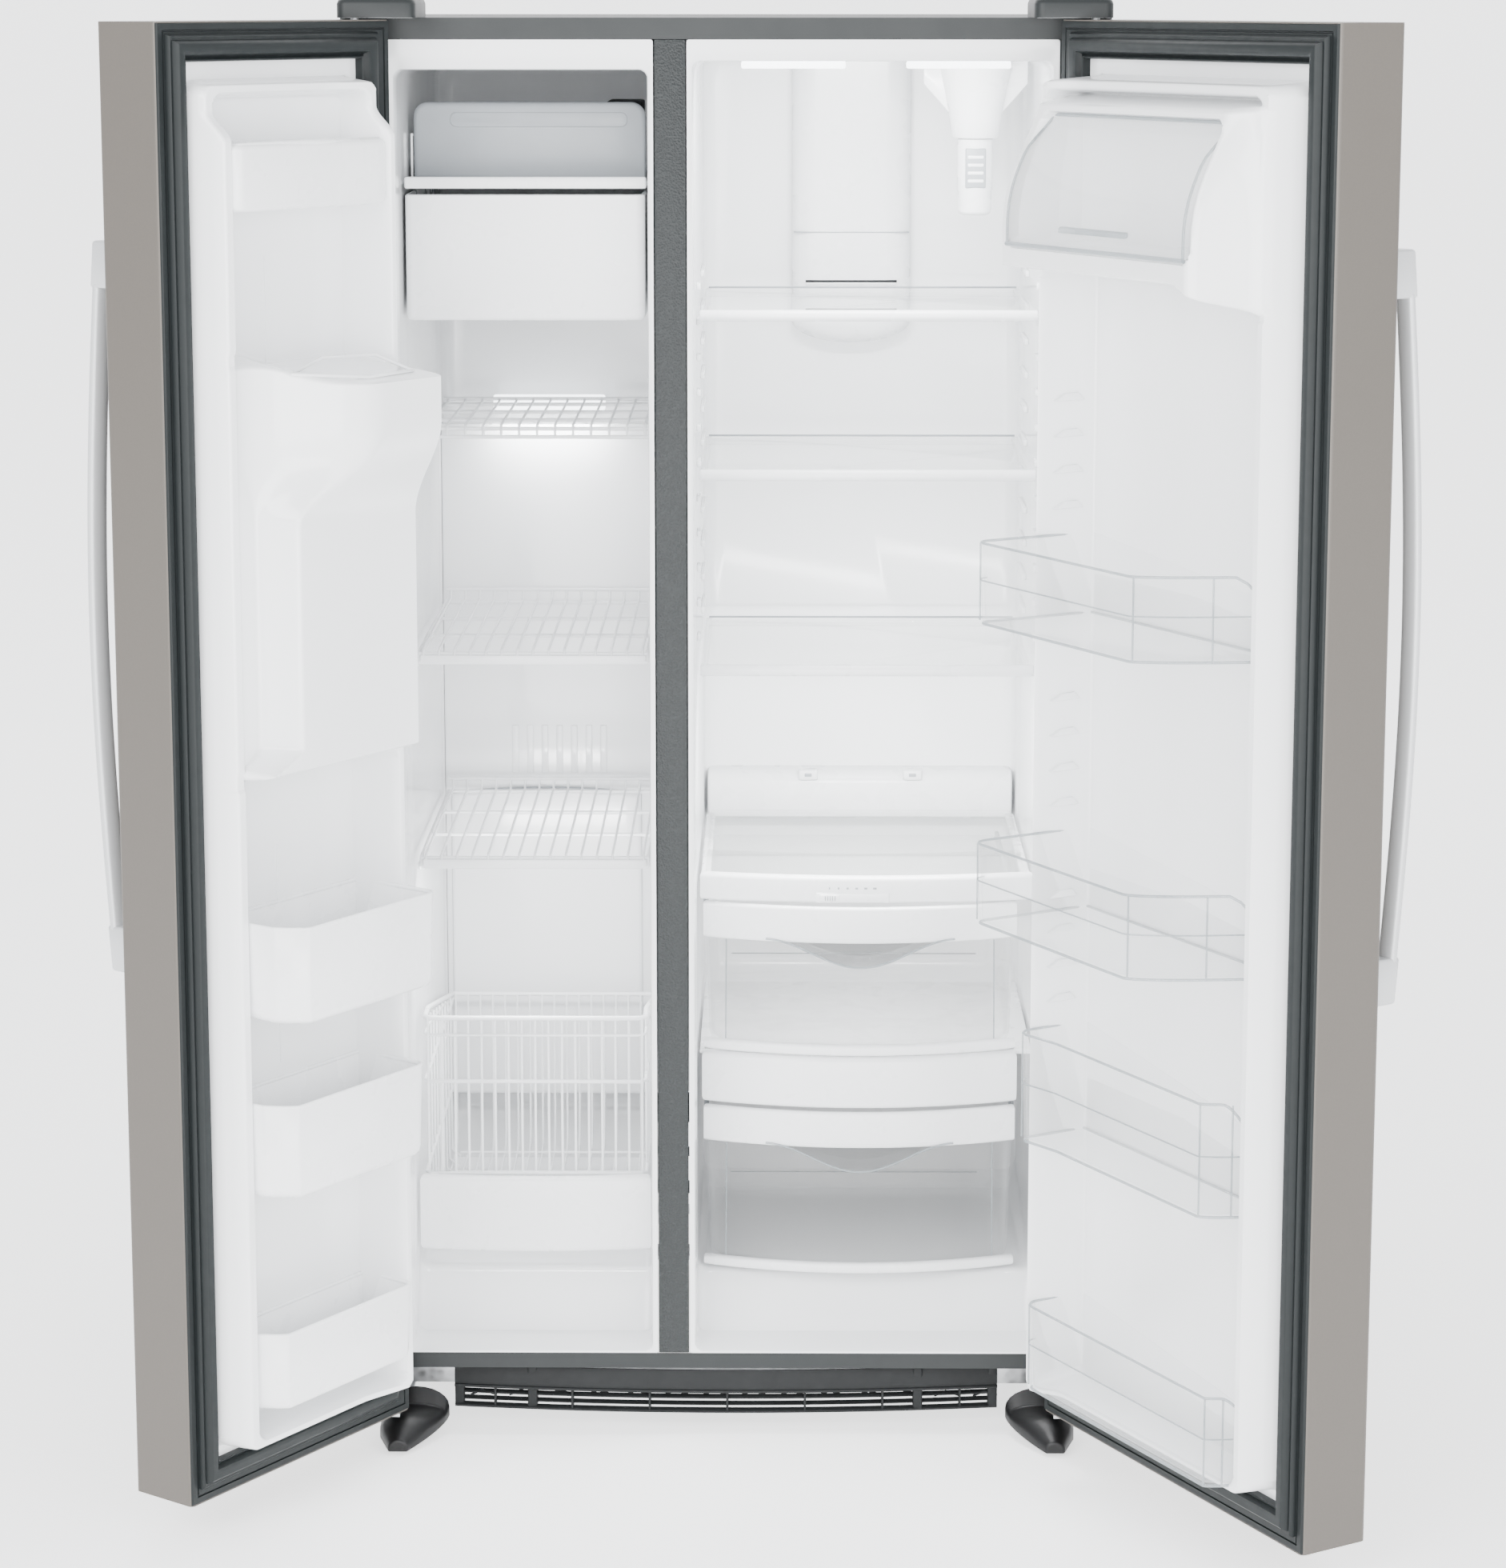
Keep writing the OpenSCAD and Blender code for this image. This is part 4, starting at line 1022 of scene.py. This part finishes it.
def freezer_face(x, z):
    """Height in mm of the freezer door's moulding above its flat plate."""
    hinge = smooth(-300, -380, x)
    crest = IN + 42 + 12 * hinge - 27 * smooth(1610, 1645, z)
    rise = smooth(-1, 6, inside(x, z, -387, 105, -105, 1677, 18))
    floor = smooth(-1, 8, inside(x, z, -372, 119, -123, 1663, 16))
    wall = rise * (crest * (1 - floor) + 3 * floor)
    lower = smooth(1189, 1264, z)
    start, end = lerp(-148, -130, lower), lerp(-172, -262, lower)
    out = smooth(906, 934, z)
    start += 26 * (1 - out)
    end += 46 * (1 - out)
    ramp = smooth(-start, -end, -x)
    front = IN + 90 + 41 * smooth(1180, 1290, z)
    front = lerp(IN + 41, front, ramp) * smooth(884, 910, z)
    top = 1352 + 20 * (1 - smooth(IN + 40, IN + 125, front))
    front *= (1 - smooth(top - 12, top + 8, z)) * smooth(-375, -368, x) * rise
    return soft_max(wall, front, 5) - 2.5 if front > 1 else wall


def make_freezer_door_liner():
    shape = Shape()
    xs = lines(-427, -81, 9, [(-392, -358), (-176, -100)])
    zs = lines(66, 1725, 18, [(100, 134), (880, 940), (1180, 1376), (1600, 1682)])
    moulded_sheet(shape, LINER, xs, zs, freezer_face, DOOR_BACK - 0.003, PLATE)
    x0, x1 = -0.3735, -0.1225
    shelf_y = FACE + 0.05

    def fascia(inset):
        return bowed_rect(x0 + inset, x1 - inset, DOOR_BACK, shelf_y - inset, 0.01, 0.004)
    pad_of(shape, WHITE, fascia, eased(1.534, 1.608, 0.007))
    lip = [(x0 + 0.006, FACE + 0.028, 1.604), (x0 + 0.01, FACE + 0.043, 1.606), (-0.25, FACE + 0.05, 1.607),
           (x1 - 0.01, FACE + 0.043, 1.606), (x1 - 0.006, FACE + 0.028, 1.604)]
    shape.tube(lip, 0.0035, WHITE, 10)
    rim = [(-0.18, FACE + 0.072, 1.354), (-0.262, FACE + 0.112, 1.346), (-0.345, FACE + 0.106, 1.347),
           (-0.345, FACE + 0.05, 1.362), (-0.262, FACE + 0.042, 1.364)]
    shape.tube(rim, 0.0022, LINER, 8, closed=True)
    for z in (1.478, 0.8):
        shape.block((-0.2305, PLATE + 0.002, z - 0.26), (-0.2295, PLATE + 0.0045, z), LINER, 0.0005)
    shape.done("freezer_door_moulding", "freezer_door", "white_liner", "freezer_door_liner",
               door="freezer_door", sharp=60)


def dairy_lean(z):
    """How far the dairy block stands out, in mm above the plate, at a height."""
    return IN + 120 - 52 * smooth(1500, 1668, z) ** 1.5


def fridge_face(x, z):
    """Height in mm of the fresh food door's moulding above its flat plate."""
    crest = IN + 42 + 21 * smooth(330, 368, x)
    rise = smooth(-1, 6, inside(x, z, -25, 105, 382, 1679, 18))
    floor = smooth(-1, 7, inside(x, z, -9, 117, 374, 1663, 16))
    wall = rise * (crest * (1 - floor) + 3 * floor)
    bottom = 1455 - 24 * (1 - smooth(-14, 60, x)) ** 1.3
    block = dairy_lean(z) * smooth(bottom - 7, bottom + 12, z) * (1 - smooth(1646, 1666, z))
    block *= smooth(-24, -12, x) * (1 - smooth(370, 381, x))
    block = lerp(min(block, IN + 46), block, smooth(-20, 20, x))
    well = smooth(0, 7, inside(x, z, 15, 1486, 359, 1640, 14))
    block = lerp(block, min(block, 40), well)
    return soft_max(wall, block, 4) - 2 if block > 1 else wall


def make_fridge_door_liner():
    shape = Shape()
    xs = lines(-50, 427, 12, [(-27, 34), (346, 386)])
    zs = lines(66, 1725, 18, [(100, 134), (1400, 1500), (1620, 1684)])
    moulded_sheet(shape, LINER, xs, zs, fridge_face, DOOR_BACK - 0.003, PLATE)
    tops = [b[1] for b in BINS["fridge_door"][0]]
    for top in tops[:3]:
        for k in range(4):
            z = top + 0.03 + 0.042 * k
            if z < 1.4:
                bump = [(FACE + 0.004, z), (FACE + 0.044, z), (FACE + 0.03, z + 0.008),
                        (FACE + 0.012, z + 0.009)]
                shape.prism(bump, "x", 0.3665, 0.3745, LINER, 0.001)
    shape.done("fridge_door_moulding", "fridge_door", "white_liner", "fridge_door_liner", door="fridge_door",
               sharp=60)


def make_dairy_cover():
    """The clear flip-up cover: a curved shell that leans out towards its lower edge."""
    x0, x1, z0, z1 = 0.0165, 0.3575, 1.489, 1.6375
    shape = Shape()
    count = 16
    outer, inner = [], []
    for i in range(count + 1):
        z = lerp(z1, z0, i / count)
        y = PLATE + dairy_lean(z / MM) * MM + 0.001 - 0.018 * (1 - smooth(0, 0.3, i / count))
        outer.append((y, z))
        inner.append((y - 0.0028, z + 0.0005))
    inner[-1] = (inner[-1][0] - 0.004, z0 + 0.0028)
    shape.prism(outer + inner[::-1], "x", x0, x1, CLEAR, 0.0)
    back = [(FACE + 0.03, z1 - 0.004), (FACE + 0.03, z0 + 0.003)]
    for x in (x0, x1 - 0.003):
        shape.prism(outer + back[::-1], "x", x, x + 0.003, CLEAR, 0.0006)
        shape.tube([(x + 0.0015, y, z) for y, z in outer], 0.0016, EDGE, 8)
    shape.tube([(x0, outer[-1][0], z0 + 0.002), (x1, outer[-1][0], z0 + 0.002)], 0.0026, EDGE, 10)
    shape.tube([(x0, outer[0][0], z1 - 0.002), (x1, outer[0][0], z1 - 0.002)], 0.0022, EDGE, 10)
    shape.prism([(outer[-4][0] - 0.001, z0 + 0.022), (outer[-4][0] + 0.003, z0 + 0.02),
                 (outer[-4][0] + 0.003, z0 + 0.025), (outer[-4][0] - 0.001, z0 + 0.027)], "x", 0.12, 0.25,
                EDGE, 0.001)
    shape.done("dairy_flip_cover", "dairy_cover", "clear_plastic", "dairy_cover", door="fridge_door",
               sharp=50)


def make_gasket(door, node, left, right):
    """A mitred frame of soft seal: a flat foot, a bulb and a wiping lip. left and right are widths."""
    (x0, y0, z0), (x1, y1, z1) = shut_box(node, door)
    shape = Shape()
    bottom, top = 0.029, 0.03
    profile = [(0, 0), (0, 0.3), (0.08, 0.52), (0.2, 0.48), (0.24, 0.66), (0.3, 0.92), (0.38, 1), (0.62, 1),
               (0.72, 0.92), (0.78, 0.62), (0.84, 0.5), (0.92, 0.66), (0.97, 0.6), (1, 0.3), (1, 0)]
    rings = [frame_ring(x0 + s * left, z0 + s * bottom, x1 - s * right, z1 - s * top, lerp(y0, y1, h)) for s,
             h in profile]
    shape.loops(rings, GASKET, closed=True)
    shape.done(node.replace("gasket", "seal"), door, "gasket_rubber", node, door=door, sharp=40)


def make_door_rim(door, node, gasket):
    """The dark return round the back of a door, from the painted skin in to the seal."""
    (x0, _, z0), (x1, _, z1) = shut_box(node, door)
    shape = Shape()
    root, groove, crest = DOOR_BACK - 0.006, DOOR_BACK - 0.0012, DOOR_BACK + 0.0006
    rings = []
    for inset, y in ((0.0012, root), (0.0012, DOOR_BACK - 0.0006), (0.0022, crest), (0.009, crest),
                     (0.0096, groove), (0.0108, groove), (0.0114, crest)):
        rings.append(frame_ring(x0 + inset, z0 + inset, x1 - inset, z1 - inset, y))
    (x0, _, z0), (x1, _, z1) = shut_box(gasket, door)
    for y in (crest, root):
        rings.append(frame_ring(x0 + 0.002, z0 + 0.002, x1 - 0.002, z1 - 0.002, y))
    shape.loops(rings, GASKET, closed=True)
    shape.done(door + "_rim", door, "gasket_rubber", door=door, sharp=40)


def make_handle(door, node):
    """A bowed satin bar held by two end blocks with set screws."""
    (x0, _, bottom), (x1, _, top) = shut_box(node, door)
    x = (x0 + x1) / 2
    front = shut_box(door + "_skin", door)[0].y - 0.0002
    shape = Shape()
    cap, stand_off, bow = 0.053, 0.036, 0.025

    def y_at(z):
        return front - stand_off - bow * sin(pi * (z - bottom) / (top - bottom))
    rings = []
    turns = [radians(15 * k) for k in range(24)]
    for z in spread(bottom + cap - 0.004, top - cap + 0.004, 29):
        rings.append([(x + 0.0135 * cos(t), y_at(z) - 0.008 * sin(t) * (1 if sin(t) > 0 else 0.9), z)
                      for t in turns])
    shape.loops(rings, SILVER)
    for z0, z1 in ((bottom, bottom + cap), (top - cap, top)):
        rings = []
        for z in (z0, z0 + 0.001, z0 + 0.003, (z0 + z1) / 2, z1 - 0.003, z1 - 0.001, z1):
            shrink = 0.0022 if z in (z0, z1) else 0.0007 if z in (z0 + 0.001, z1 - 0.001) else 0.0
            y0 = y_at(z) - 0.0086 + shrink
            rings.append(ring_z(round_rect(x - 0.013 + shrink, y0, x + 0.013 - shrink, front, 0.005, 5), z))
        shape.loops(rings, SILVER)
        for side in (-1, 1):
            ends = sorted((x + side * 0.011, x + side * 0.0134))
            shape.prism(arc(front - 0.014, (z0 + z1) / 2, 0.0042, 0, 345, 15), "x", *ends, DARK, 0.0004)
    shape.done(node + "_bar", door, "handle_metal", node, door=door, sharp=40)


BINS = {"freezer_door": ([(0.619, 0.733), (0.41, 0.522), (0.152, 0.246)], [0.112, 0.091, 0.068]),
        "fridge_door": ([(1.052, 1.15), (0.698, 0.797), (0.425, 0.56), (0.114, 0.222)],
                        [0.15, 0.15, 0.075, 0.07]),}


def bin_plan(h, e, depth, deep, knee, cut, r=0.016):
    """A door bin's outline at any inset: h is its hinge end and e the end that curves back."""
    s = 1 if e > h else -1
    y_back = DOOR_BACK + 0.0012

    def plan(inset):
        points = [(e - s * inset, y_back + inset), (h + s * inset, y_back + inset)]
        for k in range(7):
            t = radians(15 * k)
            points.append((h + s * (r - (r - inset) * cos(t)), FACE + deep - r + (r - inset) * sin(t)))
        points.append((h + s * 0.07, FACE + depth - inset))
        for i in range(15):
            t = i / 14
            points.append((e - s * (inset + knee * (1 - t)), FACE + depth - inset - cut * t ** 1.4))
        return points
    return plan


def make_freezer_bins():
    (x0, _, _), (x1, _, _) = shut_box("freezer_bins", "freezer_door")
    shape = Shape()
    spans, depths = BINS["freezer_door"]
    for (z0, z1), depth in zip(spans, depths):
        plan = bin_plan(x0, x1, depth, depth, 0.024, 0.034)
        moulded_tray(shape, WHITE, plan, z0, z1, 0.0035, foot=0.013, draft=0.003)
        shape.tube([(x, y, z1 - 0.001) for x, y in plan(0.0022)], 0.0026, WHITE, 10, closed=True)
    shape.done("freezer_bin_set", "freezer_door", "white_plastic", "freezer_bins", door="freezer_door",
               sharp=60)


def make_fridge_bins():
    """Clear bins: a high hinge end, a lower back rim, a fine rim line and a lower band."""
    low, high = shut_box("fridge_bins", "fridge_door")
    shape = Shape()
    spans, depths = BINS["fridge_door"]
    deeps = (0.15, 0.15, 0.084, 0.07)
    knees = (0.074, 0.074, 0.031, 0.017)
    cuts = (0.12, 0.12, 0.05, 0.029)
    for (z0, z1), depth, deep, knee, cut in zip(spans, depths, deeps, knees, cuts):
        plan = bin_plan(high.x, low.x, depth, deep, knee, cut, 0.018)
        fall = (z1 - z0) * 0.42
        back = DOOR_BACK + 0.02

        def rim(x, y, fall=fall):
            return fall * (1 - smooth(0.335, 0.362, x)) * (1 - smooth(back, back + 0.05, y))
        moulded_tray(shape, CLEAR, plan, z0, z1, 0.003, foot=0.007, draft=0.003, rim=rim)
        edge = plan(0.0012)
        shape.tube([(x, y, z1 - 0.001 - rim(x, y)) for x, y in edge[1:] + edge[:1]], 0.0016, EDGE, 8)
        shape.tube([(x, y, z0 + 0.003) for x, y in plan(0.004)], 0.0017, EDGE, 8, closed=True)
        band = z0 + (z1 - z0) * 0.55
        shape.tube([(x, y, band) for x, y in plan(0.0)[2:]], 0.0009, EDGE, 6)
        for x, y in (plan(0.0)[5], plan(0.0)[11], plan(0.0)[20]):
            shape.tube([(x, y, z0 + 0.006), (x, y, z1 - 0.002)], 0.0011, EDGE, 6)
        shape.block((low.x + 0.0005, DOOR_BACK + 0.004, z0 + 0.006),
                    (low.x + 0.0035, DOOR_BACK + 0.024, z1 - fall - 0.004), EDGE, 0.001)
    shape.done("fridge_bin_set", "fridge_door", "clear_plastic", "fridge_bins", door="fridge_door", sharp=60)


# ---- base ----------------------------------------------------------------------------------

def make_base_grille():
    """A bowed band over curved louvres, with ribs and posts behind."""
    (x0, _, _), (x1, y1, _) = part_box("base_grille")
    shape = Shape()
    back = y1 - 0.008

    def front(x, out):
        return back - 0.008 - out - 0.022 * arched((2 * x - x0 - x1) / (x1 - x0))

    def strip(z0, z1, lean, out, t=0.003):
        rings = []
        for x in spread(x0, x1, 29):
            y = front(x, out)
            rings.append([(x, y, z0), (x, y - 0.0008, (z0 + z1) / 2), (x, y + lean, z1),
                          (x, y + lean + t, z1), (x, y + t, (z0 + z1) / 2), (x, y + t, z0)])
        shape.loops(rings, DARK)
    strip(0.047, 0.0745, 0.004, 0.0)
    shape.tube([(x, front(x, 0.0006), 0.0485) for x in spread(x0, x1, 21)], 0.0022, DARK, 8)
    strip(0.0375, 0.0415, 0.004, -0.004)
    strip(0.029, 0.0325, 0.004, -0.004)
    strip(0.02, 0.0255, 0.003, -0.001)
    for i in range(-3, 4):
        x = i * 0.097
        shape.block((x - 0.0015, front(x, 0.0) + 0.001, 0.021), (x + 0.0015, back, 0.048), DARK, 0.0007)
    for x in (x0, -0.25, 0.232, x1 - 0.012):
        shape.block((x, front(x, 0.0) + 0.001, 0.02), (x + 0.012, y1, 0.0755), DARK, 0.002)
    for x in spread(x0 + 0.02, x1 - 0.03, 14):
        shape.tube([(x, back - 0.004, 0.034), (x + 0.014, back - 0.006, 0.041),
                    (x + 0.03, back - 0.004, 0.035)], 0.0016, DARK, 6)
    shape.done("toe_grille", "cabinet", "dark_plastic", "base_grille")


def make_leg_covers():
    """Glossy covers that flare forward into a foot under each door."""
    shape = Shape()
    for s in (-1, 1):
        rings = []
        for k in range(9):
            t = k / 8
            y = FACE - 0.004 - 0.084 * t
            inner = 0.346 + 0.046 * t ** 1.5
            outer = 0.429 - 0.014 * max(0.0, t - 0.6) / 0.4
            top = min(lerp(0.076, 0.018, t ** 0.8), 0.058 if t < 0.1 else 0.0375)
            foot = lerp(0.018, 0.003, t)
            half, middle = (outer - inner) / 2, (outer + inner) / 2
            crown = [(middle + half * cos(a), foot + (top - foot) * (0.35 + 0.65 * sin(a)))
                     for a in [radians(15 * n) for n in range(13)]]
            points = [(middle + half, foot)] + crown + [(middle - half, foot)]
            rings.append([(s * x, y, z) for x, z in points])
        shape.loops(rings, BLACK)
    shape.done("leg_cover_pair", "cabinet", "gloss_black", "leg_covers", sharp=30, bevel=0.002)


def make_hinge_covers():
    (_, y0, z0), (_, y1, z1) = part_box("hinge_covers")
    shape = Shape()
    for s in (-1, 1):
        x0, x1 = sorted((s * 0.359, s * 0.451))

        def plan(inset, x0=x0, x1=x1):
            return round_rect(x0 + inset, y0 + inset, x1 - inset, y1 - inset, 0.012, 6)
        pad_of(shape, PAINT, plan, [(z0, 0.0), (z1 - 0.006, 0.0), (z1 - 0.002, 0.0015), (z1, 0.005)])
        shape.block((x0 + 0.02, y0 + 0.05, z1 - 0.0005), (x1 - 0.02, y0 + 0.053, z1 + 0.0004), DARK, 0.0003)
    shape.done("hinge_cover_pair", "cabinet", "case_steel", "hinge_covers")


# ---- stage ---------------------------------------------------------------------------------

def stage_material(name, colour, rough):
    m = Material(name, colour, rough, Emission_Strength=1.3)
    m.set("Emission Color", (*colour, 1))
    m.uneven_gloss(m.noise(3, 3), 0.05)
    return m.mat


def make_floor():
    """A pale floor that sweeps up into a backdrop far behind."""
    shape = Shape()
    half, front, rear, r = 14.0, -16.0, 7.0, 3.0
    profile = [(front, 0.0), (rear - r, 0.0)] + arc(rear - r, r, r, -90, 0, 16)[1:] + [(rear, 9.0)]
    rings = [[(x, y, z - 0.0005) for x in (-half, half)] for y, z in profile]
    index = shape._index(stage_material("floor", (0.93, 0.93, 0.93), 0.5))
    made = [[shape.bm.verts.new(p) for p in ring] for ring in rings]
    for a, b in zip(made, made[1:]):
        shape._face((a[0], a[1], b[1], b[0]), index)
    mesh = bpy.data.meshes.new("floor")
    shape.bm.to_mesh(mesh)
    shape.bm.free()
    mesh.materials.append(shape.mats[0])
    obj = bpy.data.objects.new("floor", mesh)
    bpy.context.scene.collection.objects.link(obj)


def area_light(name, place, target, size, power, colour=(1, 1, 1)):
    data = bpy.data.lights.new(name, "AREA")
    data.shape = "RECTANGLE"
    data.size, data.size_y = size
    data.energy = power
    data.color = colour
    obj = bpy.data.objects.new(name, data)
    bpy.context.scene.collection.objects.link(obj)
    obj.location = place
    obj.rotation_euler = (Vector(target) - Vector(place)).to_track_quat("-Z", "Y").to_euler()


def make_lights():
    world = bpy.data.worlds.new("studio")
    bpy.context.scene.world = world
    world.use_nodes = True
    world.node_tree.nodes["Background"].inputs["Color"].default_value = (0.95, 0.97, 1, 1)
    world.node_tree.nodes["Background"].inputs["Strength"].default_value = 1.5
    area_light("key", (-2.6, -4.6, 3.4), (0, 0, 1.0), (3.0, 3.0), 240)
    area_light("fill", (3.0, -4.4, 2.4), (0, 0, 0.9), (3.0, 3.0), 150)
    area_light("front", (0, -5.4, 1.2), (0, 0, 0.9), (3.2, 2.2), 190)
    area_light("fridge_lamp", (0.17, FACE + 0.06, 1.675), (0.17, 0.15, 0.9), (0.3, 0.03), 5.0)
    area_light("freezer_lamp", (-0.245, 0.17, 1.212), (-0.245, 0.24, 0.9), (0.15, 0.02), 0.7)
    area_light("crisper_glow", (0.17, FACE + 0.12, 0.9), (0.17, 0.1, 0.3), (0.3, 0.05), 5.0)
    area_light("basket_glow", (-0.245, FACE + 0.11, 0.66), (-0.245, 0.1, 0.3), (0.2, 0.05), 2.5)


def make_camera():
    data = bpy.data.cameras.new("camera")
    data.sensor_width = 36.0
    data.lens = CAMERA["lens"]
    data.shift_x, data.shift_y = CAMERA["shift"]
    obj = bpy.data.objects.new("camera", data)
    bpy.context.scene.collection.objects.link(obj)
    obj.location = CAMERA["place"]
    obj.rotation_euler = (radians(90 - CAMERA["down"]), 0, radians(-CAMERA["right"]))
    bpy.context.scene.camera = obj


# Where the camera stands, how far it looks down and to the right in degrees, and its lens in mm.
CAMERA = {"place": (0.068, -4.903, 1.773), "down": 9.32, "right": -0.45, "lens": 87.8,
          "shift": (0.0, -0.105)}

dress_frame()
make_freezer_room()
make_fridge_room()
make_mullion()
make_air_tower()
make_filter()
make_shelves()
make_rear_cover()
make_crisper_top()
make_humidity_knob()
make_drawer("upper_drawer_shell", "crisper_drawer")
make_drawer("lower_drawer_shell", "lower_drawer")
make_drawer_cover()
make_icemaker()
make_top_shelf()
make_bucket()
make_auger()
make_wire_shelves()
make_basket()
make_basket_front()
make_freezer_back()
make_lamps()
make_freezer_door_liner()
make_fridge_door_liner()
make_dairy_cover()
make_gasket("freezer_door", "freezer_gasket", 0.034, 0.025)
make_gasket("fridge_door", "fridge_gasket", 0.0265, 0.034)
make_door_rim("freezer_door", "freezer_door_skin", "freezer_gasket")
make_door_rim("fridge_door", "fridge_door_skin", "fridge_gasket")
make_handle("freezer_door", "freezer_handle")
make_handle("fridge_door", "fridge_handle")
make_freezer_bins()
make_fridge_bins()
make_base_grille()
make_leg_covers()
make_hinge_covers()
make_floor()
make_lights()
make_camera()
